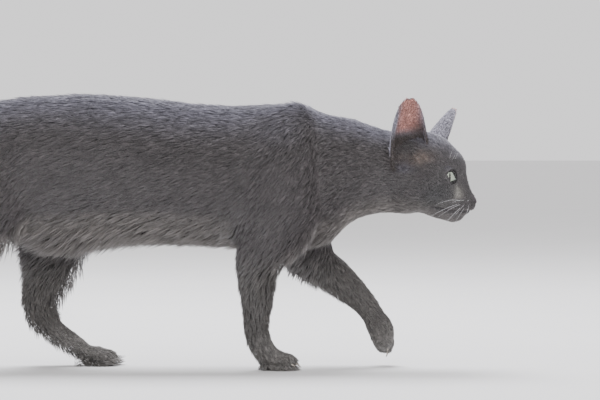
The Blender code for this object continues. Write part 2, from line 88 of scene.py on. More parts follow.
class Side(Enum):
    """The cat's own sides, with the sign of Y there."""

    RIGHT = -1
    LEFT = 1

    @property
    def word(self) -> str:
        """The side's name as the solids spell it."""
        return self.name.lower()


# ---------------------------------------------------------------- small tools


def smoothstep(low: float, high: float, value: np.ndarray) -> np.ndarray:
    """A soft step from 0 at low to 1 at high.

    Args:
        low: Where the step starts.
        high: Where it ends. It may lie below low, which turns the step round.
        value: What is tested.

    Returns:
        The step's height at each value.
    """
    t = np.clip((value - low) / (high - low), 0.0, 1.0)
    return t * t * (3.0 - 2.0 * t)


def unit(vectors: np.ndarray) -> np.ndarray:
    """Vectors of length one."""
    return vectors / np.maximum(np.linalg.norm(vectors, axis=-1, keepdims=True), 1e-12)


def dot(a: np.ndarray, b: np.ndarray) -> np.ndarray:
    """Row by row dot products, kept as a column."""
    return np.sum(a * b, axis=-1, keepdims=True)


def baked(obj: bpy.types.Object) -> bpy.types.Object:
    """Replaces the object's mesh by what its modifiers make of it.

    Args:
        obj: A mesh object with live modifiers.

    Returns:
        The same object without them.
    """
    bpy.context.view_layer.update()
    graph = bpy.context.evaluated_depsgraph_get()
    mesh = bpy.data.meshes.new_from_object(obj.evaluated_get(graph))
    obj.modifiers.clear()
    obj.data = mesh
    return obj


def linked(name: str, data: bpy.types.ID) -> bpy.types.Object:
    """A new object of the data, in the scene."""
    obj = bpy.data.objects.new(name, data)
    bpy.context.scene.collection.objects.link(obj)
    return obj


def mesh_object(name: str, bm: bmesh.types.BMesh) -> bpy.types.Object:
    """An object in the scene from a bmesh, which is freed."""
    mesh = bpy.data.meshes.new(name)
    bm.to_mesh(mesh)
    bm.free()
    return linked(name, mesh)


def add_to(whole: bmesh.types.BMesh, part: bmesh.types.BMesh) -> None:
    """Moves all of one bmesh into another."""
    mesh = bpy.data.meshes.new("part")
    part.to_mesh(mesh)
    part.free()
    whole.from_mesh(mesh)
    bpy.data.meshes.remove(mesh)


def numbers(
    rows: bpy.types.bpy_prop_collection, key: str, width: int, kind: type = np.float32
) -> np.ndarray:
    """One value of each member of a collection.

    Args:
        rows: The collection, such as a mesh's vertices.
        key: The value's name.
        width: Numbers in each value.
        kind: The type of the numbers.

    Returns:
        A row for each member.
    """
    flat = np.empty(len(rows) * width, kind)
    rows.foreach_get(key, flat)
    return flat.reshape(-1, width)


def coordinates(mesh: bpy.types.Mesh) -> np.ndarray:
    """The places of a mesh's vertices, one row each."""
    return numbers(mesh.vertices, "co", 3).astype(float)


def set_coordinates(mesh: bpy.types.Mesh, places: np.ndarray) -> None:
    """Moves a mesh's vertices to the given rows."""
    mesh.vertices.foreach_set("co", places.astype(np.float32).ravel())
    mesh.update()


def normals(mesh: bpy.types.Mesh) -> np.ndarray:
    """The smooth normals of a mesh's vertices."""
    return numbers(mesh.vertex_normals, "vector", 3).astype(float)


class HeadFrame:
    """The head's own axes in millimetres: the origin halfway between the eyeballs, +X out of the face."""

    def __init__(self) -> None:
        """Finds the axes from the two eye nodes."""
        right, left = (sum(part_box(name), Vector()) / 2 for name in EYES)
        across = (left - right).normalized()
        forward = across.cross(Vector((0, 0, 1))).normalized()
        self.origin = np.array((right + left) / 2)
        self.axes = np.array([forward, across, forward.cross(across)])
        self.eye_y = (left - right).length / 2 / MM

    def inside(self, places: np.ndarray) -> np.ndarray:
        """World places in metres as head places in millimetres."""
        return (places - self.origin) @ self.axes.T / MM

    def outside(self, places: np.ndarray) -> np.ndarray:
        """Head places in millimetres as world places in metres."""
        return places @ self.axes * MM + self.origin


HEAD = HeadFrame()


# ---------------------------------------------------------------- how the coat lies


@dataclass(frozen=True)
class Lie:
    """How the coat lies on one part of the body. Lengths are in millimetres."""

    flow: tuple[float, float, float]  # the way the hair points
    length: float
    depth: float  # from the coat's outline down to the skin
    width: float
    group: str
    cover: float = 3.4  # how many tufts lie over one another
    loose: float = 0.12  # how far the tufts stray from the flow


LIES = {
    "head": Lie((-1.0, 0.0, 0.0), 4.8, 1.6, 0.62, "head"),
    "lower_jaw": Lie((-1.0, 0.0, -0.25), 3.6, 1.3, 0.6, "head"),
    "ear_right": Lie((0.0, 0.0, 1.0), 3.2, 0.5, 0.7, "head", 3.0),
    "ear_left": Lie((0.0, 0.0, 1.0), 3.2, 0.5, 0.7, "head", 3.0),
    "neck": Lie((-1.0, 0.0, -0.35), 10.0, 3.4, 0.75, "trunk"),
    "chest": Lie((-1.0, 0.0, -0.4), 13.0, 3.8, 0.8, "trunk"),
    "loins": Lie((-1.0, 0.0, -0.36), 14.0, 4.0, 0.85, "trunk"),
    "tail_root": Lie((-0.62, 0.1, -0.78), 12.0, 3.2, 1.1, "tail", 4.0),
    "tail_middle": Lie((-0.87, 0.14, -0.47), 12.0, 3.0, 1.1, "tail", 4.0),
    "tail_tip": Lie((-0.95, 0.03, 0.3), 11.0, 2.4, 1.1, "tail", 4.0),
    "upper_arm_right": Lie((-0.62, 0.0, -0.8), 11.0, 3.2, 0.78, "legs"),
    "upper_arm_left": Lie((-0.5, 0.0, -0.85), 11.0, 3.2, 0.78, "legs"),
    "forearm_right": Lie((-0.12, 0.0, -1.0), 6.5, 1.8, 0.65, "legs"),
    "forearm_left": Lie((0.6, 0.0, -0.8), 6.5, 1.8, 0.65, "legs"),
    "forepaw_right": Lie((0.5, 0.0, -0.6), 3.8, 1.1, 0.65, "legs"),
    "forepaw_left": Lie((0.4, 0.0, -1.0), 3.8, 1.1, 0.65, "legs"),
    "thigh_right": Lie((-0.75, 0.0, -0.7), 12.0, 3.6, 0.8, "legs"),
    "thigh_left": Lie((-0.7, 0.0, -0.75), 12.0, 3.6, 0.8, "legs"),
    "shank_right": Lie((-0.75, 0.0, -0.65), 8.0, 2.2, 0.72, "legs"),
    "shank_left": Lie((-0.25, 0.0, -1.0), 8.0, 2.2, 0.72, "legs"),
    "hindpaw_right": Lie((0.35, 0.0, -0.94), 4.4, 1.3, 0.7, "legs"),
    "hindpaw_left": Lie((0.75, 0.0, -0.65), 4.4, 1.3, 0.7, "legs"),
}


class Surface:
    """A mesh's shape as arrays, with values spread over it."""

    def __init__(self, mesh: bpy.types.Mesh) -> None:
        """Reads the mesh's vertices, edges and triangles."""
        mesh.calc_loop_triangles()
        self.places = coordinates(mesh)
        self.normals = normals(mesh)
        edges = numbers(mesh.edges, "vertices", 2, np.int32)
        self.triangles = numbers(mesh.loop_triangles, "vertices", 3, np.int32)
        self.count = len(self.places)
        self._near, self._ends = edges[:, ::-1].ravel(), edges.ravel()
        self._degree = np.maximum(np.bincount(self._ends, minlength=self.count), 1)[:, None]

    def spread(self, values: np.ndarray, times: int, share: float = 0.6) -> np.ndarray:
        """Evens out values by taking some of each neighbour's.

        Args:
            values: One row for each vertex.
            times: How often to repeat.
            share: How much of the neighbours' mean each step takes.

        Returns:
            The evened rows.
        """
        values = values.reshape(self.count, -1).astype(float)
        for _ in range(times):
            taken = values[self._near]
            mean = np.column_stack(
                [
                    np.bincount(self._ends, weights=taken[:, i], minlength=self.count)
                    for i in range(values.shape[1])
                ]
            )
            values = (1 - share) * values + share * mean / self._degree
        return values


def nearest_node(places: np.ndarray, names: tuple[str, ...]) -> np.ndarray:
    """Which of the named solids each place is nearest to.

    Args:
        places: Rows in metres.
        names: The solids to choose from.

    Returns:
        The index in names for each place.
    """
    rows = []
    for i, name in enumerate(names):
        mesh = frame["nodes"][name].data
        points = coordinates(mesh)
        mesh.calc_loop_triangles()
        corners = points[numbers(mesh.loop_triangles, "vertices", 3, np.int32)]
        for weights in ((1, 1, 1), (4, 1, 1), (1, 4, 1), (1, 1, 4)):
            share = np.array(weights)[None, :, None] / sum(weights)
            rows.extend((point, i) for point in np.sum(corners * share, axis=1))
    tree = KDTree(len(rows))
    for point, i in rows:
        tree.insert(point, i)
    tree.balance()
    return np.array([tree.find(place)[1] for place in places], np.int32)


# ---------------------------------------------------------------- the skin


@dataclass(frozen=True)
class Bump:
    """A rounded swelling or dent of the face, in the head's millimetres."""

    middle: tuple[float, float, float]
    radii: tuple[float, float, float]
    height: float  # below nought for a dent
    paired: bool = True


@dataclass
class EyeShape:
    """The eyeball's place and its opening, seen from in front of it. Angles are in degrees."""

    radius: float = 10.3  # mm
    azimuth: float = 33.0  # how far each opening faces outwards
    elevation: float = 4.0
    tilt: float = 20.0  # the inner corner lies lower
    half_width: float = 43.0
    above: float = 34.0
    below: float = 36.0
    lid: float = 0.75  # mm from the eyeball to the lid's outside
    blend: float = 34.0
    sunk: float = 0.35  # how deep the skin inside the opening lies, of the radius

    def axes(self, side: Side) -> np.ndarray:
        """The opening's own axes as rows: out of the eye, towards its inner corner, and up."""
        out = math.radians(self.azimuth) * side.value
        rise = math.radians(self.elevation)
        forward = np.array(
            [math.cos(out) * math.cos(rise), math.sin(out) * math.cos(rise), math.sin(rise)]
        )
        inward = np.cross(forward, (0.0, 0.0, 1.0)) * side.value
        inward /= np.linalg.norm(inward)
        up = np.cross(forward, inward) * -side.value
        up /= np.linalg.norm(up)
        turn = -math.radians(self.tilt)
        return np.array(
            [
                forward,
                math.cos(turn) * inward + math.sin(turn) * up,
                math.cos(turn) * up - math.sin(turn) * inward,
            ]
        )

    @staticmethod
    def middle(side: Side) -> np.ndarray:
        """The eyeball's middle in the head's millimetres."""
        return np.array((0.0, side.value * HEAD.eye_y, 0.0))

    def seen(self, head: np.ndarray, side: Side) -> tuple[np.ndarray, ...]:
        """Where places lie from the middle of one eyeball.

        Args:
            head: Rows in the head's millimetres.
            side: Which eye.

        Returns:
            The reach in millimetres, the share straight ahead, the degrees towards the inner
            corner and upwards, and the degrees past the lids' edges.
        """
        away = head - self.middle(side)
        heading = unit(away) @ self.axes(side).T
        along = np.degrees(np.arctan2(heading[:, 1], heading[:, 0]))
        up = np.degrees(np.arcsin(np.clip(heading[:, 2], -1, 1)))
        return np.linalg.norm(away, axis=1), heading[:, 0], along, up, self.beyond(along, up)

    def beyond(self, along: np.ndarray, up: np.ndarray) -> np.ndarray:
        """How far outside the opening a direction is, in degrees, or below nought inside it.

        Args:
            along: Degrees towards the inner corner.
            up: Degrees upwards.

        Returns:
            The distance past the lids' edges.
        """
        reach = np.clip(np.abs(along) / self.half_width, 0.0, 1.0)
        upper = self.above * (1 - reach**2.3)
        lower = self.below * (1 - reach**2.0)
        past = np.where(up > 0, up - upper, -up - lower)
        slope = 0.72 + 0.28 * (1 - reach)
        corner = np.hypot(np.maximum(np.abs(along) - self.half_width, 0.0), up)
        return np.where(np.abs(along) > self.half_width, corner, past * slope)


@dataclass
class EarShape:
    """An ear, in the head's millimetres: a leaf rolled into a cup that opens out to its tip."""

    name: str
    base: tuple[float, float, float]
    tip: tuple[float, float, float]
    faces: tuple[float, float, float]
    half_width: float
    inner: int
    hollow: float = 0.16
    wrap: float = 112.0
    thickness: float = 1.5

    def build(self, bm: bmesh.types.BMesh, across_steps: int = 30, up_steps: int = 30) -> None:
        """Adds the ear to a bmesh in world metres.

        Args:
            bm: Where the ear is added.
            across_steps: Faces from edge to edge.
            up_steps: Faces from base to tip.
        """
        base, tip = np.array(self.base), np.array(self.tip)
        height = float(np.linalg.norm(tip - base))
        up = (tip - base) / height
        facing = np.array(self.faces) - up * np.dot(up, self.faces)
        facing /= np.linalg.norm(facing)
        across = np.cross(up, facing)
        leaf = bmesh.new()
        bmesh.ops.create_grid(leaf, x_segments=across_steps, y_segments=up_steps, size=1)
        for vert in leaf.verts:
            roll, rise = vert.co.x, (vert.co.y + 1) / 2
            wide = self.half_width * math.sqrt(max(1 - rise**2, 0.012))
            if roll * self.inner > 0:
                wide *= 1 - self.hollow * math.sin(math.pi * rise)
            cup = 0.72 * self.half_width * (1 - rise) ** 0.8 + 0.9
            reach = math.radians(self.wrap - 40 * rise)
            angle = roll * reach
            out = across * (wide * math.sin(angle) / math.sin(min(reach, math.pi / 2)))
            back = facing * (cup * (math.cos(angle) - 0.3))
            sunk = -0.12 * max(0.0, 0.25 - rise) / 0.25
            place = base + up * (height * (rise + sunk)) + out - back
            vert.co = HEAD.outside(place)
        bmesh.ops.recalc_face_normals(leaf, faces=leaf.faces)
        bmesh.ops.solidify(leaf, geom=leaf.faces[:], thickness=self.thickness * MM)
        bmesh.ops.recalc_face_normals(leaf, faces=leaf.faces)
        add_to(bm, leaf)


EYE = EyeShape()
EAR_SHAPES = (
    EarShape("ear_right", (-32.0, -18.0, 15.5), (-30.5, -36.0, 68.3), (0.34, -0.93, 0.1), 17.6, 1),
    EarShape("ear_left", (-17.5, 18.5, 21.5), (5.0, 33.5, 59.5), (0.72, 0.55, -0.35), 13.1, -1),
)
FACE_BUMPS = (
    Bump((-33.0, -27.0, 19.0), (9.0, 11.0, 13.0), -8.0, paired=False),  # the right ear's bowl
    Bump((-14.0, 26.0, 18.0), (8.0, 9.0, 10.0), -6.0, paired=False),  # the left ear's bowl
    Bump((18.0, 7.8, -25.0), (8.0, 6.0, 6.0), 1.8),  # whisker pads
    Bump((26.0, 0.0, -20.0), (6.0, 5.0, 4.5), 1.2, paired=False),  # tip of the nose
    Bump((9.0, 0.0, -35.5), (9.0, 7.0, 5.0), 1.2, paired=False),  # chin
    Bump((23.5, 0.0, -28.0), (5.0, 1.1, 7.0), -1.3, paired=False),  # groove below the nose
    Bump((27.3, 3.4, -22.0), (3.0, 1.2, 1.3), -2.2),  # nostrils
    Bump((25.0, 5.6, -21.0), (4.0, 1.2, 1.6), -0.9),  # slits behind the nostrils
    Bump((12.0, 9.5, -12.0), (7.0, 5.0, 8.0), -1.0),  # hollow beside the bridge
    Bump((-6.0, 21.0, -12.0), (12.0, 8.0, 6.0), 0.8),  # cheekbone under the eye
)


@dataclass
class Skin:
    """The one skin of the whole body, with lids, nose, mouth and ears."""

    voxel: float = 0.0026
    joining: float = 0.0004  # how far the solids swell into each other
    even_steps: int = 30
    field_steps: int = 60  # how widely the lie of the coat blends from part to part
    fringe_depth: float = 8.0  # mm, below the coat's outline along the belly
    fringe_length: float = 10.0  # mm, added to the hair there
    mouth: tuple[tuple[float, float], ...] = (
        (34.0, -29.5), (17.5, -30.8), (6.0, -30.0), (-0.5, -28.5), (-10.0, -26.2),
    )
    mouth_depth: float = 1.5
    obj: bpy.types.Object = None
    fields: dict = field(default_factory=dict)

    def build(self) -> bpy.types.Object:
        """Makes the skin and the values that the coat needs at each vertex.

        Returns:
            The skin's object.
        """
        self.obj = self._joined_flesh()
        body = Surface(self.obj.data)
        self._even(body)
        body = Surface(self.obj.data)
        self._lay_fields(body)
        self._sink(body)
        self._refine()
        self._sculpt_face()
        self._add_ears()
        self._write_fields()
        return self.obj

    def _joined_flesh(self) -> bpy.types.Object:
        """The solids of flesh as one closed mesh, their gaps closed and the sockets filled."""
        whole = bmesh.new()
        for name in (*FLESH, *EYES):
            if name in EARS:
                continue
            part = bmesh.new()
            part.from_mesh(frame["nodes"][name].data)
            bmesh.ops.remove_doubles(part, verts=part.verts, dist=2e-6)
            part.normal_update()
            for vert in part.verts:
                vert.co += vert.normal * self.joining
            add_to(whole, part)
        skin = mesh_object("skin", whole)
        joined = skin.modifiers.new("join", "REMESH")
        joined.mode = "VOXEL"
        joined.voxel_size = self.voxel
        baked(skin)
        return skin

    def _even(self, body: Surface) -> None:
        """Takes the steps and creases of the joined solids away."""
        in_head = HEAD.inside(body.places)
        places = body.places
        smooth = body.spread(places, self.even_steps)
        firm = smoothstep(-20.0, -62.0, in_head[:, 0])[:, None] * 0.65 + 0.35
        firm = firm * (0.35 + 0.65 * smoothstep(0.05, 0.09, places[:, 2])[:, None])
        floor = smoothstep(0.0, 0.004, places[:, 2])[:, None]
        places = places + (smooth - places) * firm * floor
        set_coordinates(self.obj.data, places)

    def _lay_fields(self, body: Surface) -> None:
        """Spreads each solid's lie of the coat over the skin without steps."""
        names = tuple(n for n in FLESH if n not in EARS)
        label = nearest_node(body.places, names)
        table = np.array(
            [(*LIES[n].flow, LIES[n].length, LIES[n].depth, LIES[n].width) for n in names]
        )
        rows = table[label]
        head_share = np.isin(label, [names.index("head"), names.index("lower_jaw")])
        in_head = HEAD.inside(body.places)
        nose = np.array((24.0, 0.0, -18.0))
        away = unit((in_head - nose) * (1.0, 1.0, 0.8) + (-6.0, 0.0, 0.0)) @ HEAD.axes
        rows[head_share, :3] = away[head_share]
        rows[:, :3] = unit(rows[:, :3])
        rows = body.spread(rows, self.field_steps)
        flow = rows[:, :3]
        flow = flow - body.normals * dot(flow, body.normals)
        self.fields = {
            "flow": unit(flow),
            "length": rows[:, 3],
            "depth": rows[:, 4],
            "width": rows[:, 5],
        }

    def _face_share(self, in_head: np.ndarray) -> np.ndarray:
        """1 on the muzzle and round the eyes, 0 from the ears back."""
        reach = np.linalg.norm((in_head - (16.0, 0.0, -14.0)) / (1.0, 1.0, 1.1), axis=1)
        return smoothstep(46.0, 18.0, reach)

    def _sink(self, body: Surface) -> None:
        """Moves the skin in from the coat's outline."""
        in_head = HEAD.inside(body.places)
        face = self._face_share(in_head)
        depth = self.fields["depth"] * (1 - 0.6 * face)
        belly = self._belly_share(body.places, body.normals)
        depth = depth + self.fringe_depth * belly
        sole = smoothstep(0.0008, 0.006, body.places[:, 2])
        places = body.places - body.normals * (depth * MM * sole)[:, None]
        set_coordinates(self.obj.data, places)
        self.fields["belly"] = belly
        self.fields["length"] = self.fields["length"] * (1 - 0.55 * face) + self.fringe_length * belly
        self.fields["width"] = self.fields["width"] * (1 - 0.35 * face) * (1 + 0.35 * belly)

    @staticmethod
    def _belly_share(places: np.ndarray, normal: np.ndarray) -> np.ndarray:
        """1 along the belly's fringe, which hangs below the flank."""
        x, _, z = places.T
        along = smoothstep(-0.13, -0.08, x) * (0.45 + 0.55 * smoothstep(0.1, 0.0, x))
        along = along * smoothstep(0.235, 0.2, x)
        return along * smoothstep(0.25, -0.55, normal[:, 2]) * smoothstep(0.148, 0.122, z)

    def _refine(self) -> None:
        """Cuts the head's faces smaller, and those of the face smaller again."""
        for step, (low, reach) in enumerate(((-48.0, 200.0), (-4.0, 34.0))):
            bm = bmesh.new()
            bm.from_mesh(self.obj.data)
            if step == 0:
                self._store(bm)
            places = np.array([v.co for v in bm.verts])
            in_head = HEAD.inside(places)
            near = np.linalg.norm(in_head - (14.0, 0.0, -12.0), axis=1)
            wanted = (in_head[:, 0] > low) & (near < reach) & (places[:, 0] > 0.2)
            if step == 0:
                wanted |= places[:, 2] < 0.03
            edges = [e for e in bm.edges if all(wanted[v.index] for v in e.verts)]
            bmesh.ops.subdivide_edges(bm, edges=edges, cuts=1, use_grid_fill=True, smooth=0.3)
            bmesh.ops.triangulate(bm, faces=[f for f in bm.faces if len(f.verts) > 4])
            bm.to_mesh(self.obj.data)
            bm.free()

    def _store(self, bm: bmesh.types.BMesh) -> None:
        """Writes the fields into vertex layers, so that new vertices take them from their edges."""
        flow = bm.verts.layers.float_vector.new("flow")
        others = {key: bm.verts.layers.float.new(key) for key in SPREAD}
        for vert in bm.verts:
            vert[flow] = self.fields["flow"][vert.index]
            for key, layer in others.items():
                vert[layer] = float(self.fields[key][vert.index])

    def _sculpt_face(self) -> None:
        """Shapes lids, nose, lips and pads."""
        mesh = self.obj.data
        surface = Surface(mesh)
        in_head = HEAD.inside(surface.places)
        normal = unit(surface.normals @ HEAD.axes.T)
        close = np.linalg.norm(in_head - (10.0, 0.0, -10.0), axis=1) < 60.0
        even = surface.spread(surface.places, 3)
        in_head = np.where(close[:, None], HEAD.inside(even), in_head)
        for bump in FACE_BUMPS:
            for sign in (1, -1) if bump.paired else (1,):
                middle = np.array(bump.middle) * (1, sign, 1)
                far = np.sum(((in_head - middle) / np.array(bump.radii)) ** 2, axis=1)
                in_head = in_head + normal * (bump.height * np.exp(-far))[:, None]
        in_head = in_head + normal * self._mouth_groove(in_head)[:, None]
        for side in Side:
            in_head = self._carve_lids(in_head, side)
        places = HEAD.outside(in_head) + surface.normals * self._toe_grooves(surface)[:, None]
        set_coordinates(mesh, places)

    @staticmethod
    def _toe_grooves(surface: Surface) -> np.ndarray:
        """How far the skin sinks between the toes, in metres."""
        x, y, z = surface.places.T
        sunk = np.zeros(surface.count)
        for name in PAWS:
            low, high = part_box(name)
            own = smoothstep(high.x - 0.02, high.x - 0.012, x) * (x < high.x + 0.003)
            if name == "forepaw_left":
                own = smoothstep(low.z + 0.02, low.z + 0.012, z) * (x > low.x - 0.003)
            own = own * (z < low.z + 0.03) * (np.abs(y - (low.y + high.y) / 2) < 0.02)
            for place in (-1.0, 0.0, 1.0):
                line = (low.y + high.y) / 2 + place * 0.0066
                sunk -= 0.0022 * own * np.exp(-(((y - line) / 0.0013) ** 2))
        return sunk * smoothstep(0.0008, 0.003, z)

    def _mouth_groove(self, in_head: np.ndarray) -> np.ndarray:
        """How far the skin sinks along the line of the lips, in millimetres."""
        xs, zs = np.array(self.mouth).T
        level = np.interp(in_head[:, 0], xs[::-1], zs[::-1])
        along = smoothstep(xs[-1] - 1.0, xs[-1] + 4.0, in_head[:, 0])
        return -self.mouth_depth * along * np.exp(-(((in_head[:, 2] - level) / 1.0) ** 2))

    def _carve_lids(self, in_head: np.ndarray, side: Side) -> np.ndarray:
        """Opens the skin over one eyeball and lays the lids on it.

        Args:
            in_head: The skin in the head's millimetres.
            side: Which eye.

        Returns:
            The moved places.
        """
        middle = EYE.middle(side)
        reach, ahead, _, _, past = EYE.seen(in_head, side)
        near = (ahead > 0.0) & (reach < 26.0)
        lid = EYE.radius + EYE.lid
        outside = smoothstep(0.0, EYE.blend, past)
        target = lid + (np.maximum(reach, lid) - lid) * outside
        wanted = np.where(past > 0, target, EYE.radius * EYE.sunk)
        moved = middle + unit(in_head - middle) * wanted[:, None]
        return np.where(near[:, None], moved, in_head)

    def _add_ears(self) -> None:
        """Joins the ears' shells to the skin."""
        bm = bmesh.new()
        bm.from_mesh(self.obj.data)
        for ear in EAR_SHAPES:
            ear.build(bm)
        bm.to_mesh(self.obj.data)
        bm.free()

    def _write_fields(self) -> None:
        """Reads the fields back at every vertex and fills in those of the ears."""
        mesh = self.obj.data
        surface = Surface(mesh)
        read = {"flow": numbers(mesh.attributes["flow"].data, "vector", 3).astype(float)}
        for key in SPREAD:
            read[key] = numbers(mesh.attributes[key].data, "value", 1)[:, 0].astype(float)
        for key in ("flow", *SPREAD):
            mesh.attributes.remove(mesh.attributes[key])
        in_head = HEAD.inside(surface.places)
        ear = np.zeros(surface.count, int)
        empty = np.linalg.norm(read["flow"], axis=1) < 1e-6
        for i, shape in enumerate(EAR_SHAPES, 1):
            own = empty & (in_head[:, 1] * shape.base[1] > 0)
            ear[own] = i
            base, tip = np.array(shape.base), np.array(shape.tip)
            read["flow"][own] = unit(tip - base) @ HEAD.axes
            read["length"][own] = LIES[shape.name].length
            read["width"][own] = LIES[shape.name].width
        flow = read["flow"] - surface.normals * dot(read["flow"], surface.normals)
        read["flow"] = unit(flow)
        read["ear"] = ear
        read["surface"] = surface
        read["in_head"] = in_head
        self.fields = read


# ---------------------------------------------------------------- markings


@dataclass(frozen=True)
class Patch:
    """A soft patch of colour. Middle and radii are in metres, or millimetres in the head's frame."""

    colour: tuple[float, float, float]
    middle: tuple[float, float, float]
    radii: tuple[float, float, float]
    strength: float = 1.0
    in_head: bool = False
    paired: bool = False


@dataclass
class Markings:
    """The coat's colours, the same for the skin and the tufts."""

    base: tuple[float, float, float] = (0.066, 0.058, 0.06)
    # the coat's own bluer top, lightened by a painted highlight from the light above
    back: tuple[float, float, float] = (0.17, 0.165, 0.205)
    below: tuple[float, float, float] = (0.2, 0.185, 0.175)
    legs: tuple[float, float, float] = (0.09, 0.083, 0.078)
    paws: tuple[float, float, float] = (0.17, 0.162, 0.155)
    ear_back: tuple[float, float, float] = (0.22, 0.21, 0.26)
    # the ears' pink inner skin, made brighter and warmer by a painted glow of light shining through them
    # from behind
    ear_pink: tuple[float, float, float] = (0.42, 0.2, 0.17)
    # painted shade for the hollows inside the ears
    ear_hollow: tuple[float, float, float] = (0.05, 0.04, 0.038)
    lid_rim: tuple[float, float, float] = (0.016, 0.014, 0.015)
    tear_duct: tuple[float, float, float] = (0.03, 0.028, 0.03)
    nose: tuple[float, float, float] = (0.04, 0.028, 0.036)
    lips: tuple[float, float, float] = (0.035, 0.03, 0.033)
    patches: tuple[Patch, ...] = (
        Patch((0.12, 0.115, 0.118), (4, 0, -8), (30, 26, 30), 0.7, True),
        Patch((0.045, 0.048, 0.052), (-8, 24, -16), (17, 12, 13), 0.8, True, True),
        Patch((0.33, 0.32, 0.29), (11, 14.5, -14), (6, 6, 5.5), 0.9, True, True),
        # the crown lighter and bluer: its own bluer top with a painted highlight from the light above
        Patch((0.15, 0.145, 0.165), (-4, 0, 22), (22, 18, 12), 0.7, True),
        # painted shade deep in the right ear's hollow
        Patch((0.04, 0.033, 0.032), (-37, -30, 30), (9, 12, 11), 0.9, True),
        Patch((0.34, 0.25, 0.2), (-26, -33, 17), (14, 10, 5.5), 0.9, True),
        Patch((0.3, 0.225, 0.18), (-14, 33, 12), (9, 9, 7), 0.85, True),
        Patch((0.08, 0.074, 0.077), (12, 0, -32), (12, 12, 6), 0.7, True),
    )

    def colours(self, places: np.ndarray, normal: np.ndarray, ear: np.ndarray) -> np.ndarray:
        """The coat's colour at each place.

        Args:
            places: Rows in metres.
            normal: The skin's normals there.
            ear: 0 off the ears, 1 on the right ear and 2 on the left.

        Returns:
            Linear red, green and blue rows.
        """
        x, _, z = places.T
        colour = np.tile(np.array(self.base), (len(places), 1))

        def lay(over: tuple[float, float, float], share: np.ndarray) -> None:
            colour[:] += (np.array(over) - colour) * share[:, None]

        # Painted highlight: the upward-facing coat on the back and head is lightened towards lavender,
        # over its own bluer top
        lay(self.back, smoothstep(0.35, 0.95, normal[:, 2]) * smoothstep(0.15, 0.2, z))
        lay(self.below, smoothstep(-0.3, -0.9, normal[:, 2]) * smoothstep(0.09, 0.1, z) * 0.8)
        lay(self.legs, smoothstep(0.12, 0.08, z))
        lay(self.paws, smoothstep(0.05, 0.02, z) * 0.85)
        head = HEAD.inside(places)
        for patch in self.patches:
            for sign in (1, -1) if patch.paired else (1,):
                middle = np.array(patch.middle) * (1, sign, 1)
                at = head if patch.in_head else places
                far = np.sum(((at - middle) / np.array(patch.radii)) ** 2, axis=1)
                lay(patch.colour, patch.strength * np.exp(-far))
        for side in Side:
            reach, ahead, along, up, past = EYE.seen(head, side)
            near = reach < 16.0
            lay(self.lid_rim, smoothstep(9.0, 3.0, past) * (ahead > 0) * near)
            tear = smoothstep(5.5, 2.0, np.hypot(along - EYE.half_width - 6, up + 3)) * near
            lay(self.tear_duct, tear * 0.9)
        lay(self.nose, self.nose_share(head))
        lips = np.exp(-((self._lip_distance(head) / 1.3) ** 2)) * (head[:, 0] > -12)
        lay(self.lips, lips * 0.8)
        self._paint_ears(head, normal, ear, lay)
        return np.clip(colour, 0.004, 1.0)

    @staticmethod
    def nose_share(head: np.ndarray) -> np.ndarray:
        """1 on the bare leather of the nose."""
        level = np.clip((head[:, 2] + 27.5) / 9.5, 0.0, 1.0)
        wide = 1.0 + 5.2 * level**0.8
        aside = smoothstep(wide + 0.8, wide - 0.4, np.abs(head[:, 1]))
        tall = smoothstep(-28.5, -27.0, head[:, 2]) * smoothstep(-16.8, -18.4, head[:, 2])
        return aside * tall * smoothstep(20.0, 22.5, head[:, 0])

    @staticmethod
    def _lip_distance(head: np.ndarray) -> np.ndarray:
        """Millimetres above or below the line of the lips."""
        xs, zs = np.array(Skin.mouth).T
        return head[:, 2] - np.interp(head[:, 0], xs[::-1], zs[::-1])

    def _paint_ears(
        self, head: np.ndarray, normal: np.ndarray, ear: np.ndarray, lay: Callable
    ) -> None:
        """Colours the ears' backs, edges and insides, with painted shade in their hollows and a painted
        glow of light through their pink insides.

        Args:
            head: Rows in the head's millimetres.
            normal: The skin's normals there.
            ear: 0 off the ears, 1 on the right ear and 2 on the left.
            lay: Lays a colour over the coat by a share for each row.
        """
        for i, shape in enumerate(EAR_SHAPES, 1):
            base, tip = np.array(shape.base), np.array(shape.tip)
            up = unit(tip - base)
            rise = (head - base) @ up / np.linalg.norm(tip - base)
            facing = unit(np.array(shape.faces) - up * np.dot(up, shape.faces)) @ HEAD.axes
            inside = smoothstep(-0.05, 0.25, normal @ facing) * (ear == i)
            across = np.cross(up @ HEAD.axes, facing)
            aside = (head - base) @ (HEAD.axes @ across) / shape.half_width * shape.inner
            lay(self.ear_back, smoothstep(0.0, 0.25, rise) * (ear == i))
            # Painted shade darkens the lower inside of each ear's cup.
            lay(self.ear_hollow, inside * smoothstep(0.55, 0.3, rise))
            middle = np.clip(1 - (aside / (1.02 - rise * 0.45)) ** 4, 0, 1)
            # Pink inner skin, brightened by a painted glow of light through the ear.
            lay(self.ear_pink, inside * smoothstep(0.36, 0.52, rise) * middle)
            if i == 1:
                # More painted shade deep in the right ear's hollow.
                shade = np.exp(-(((rise - 0.42) / 0.2) ** 2) - ((aside - 0.55) / 0.4) ** 2)
                lay(self.ear_hollow, inside * shade * 0.75)


# ---------------------------------------------------------------- materials


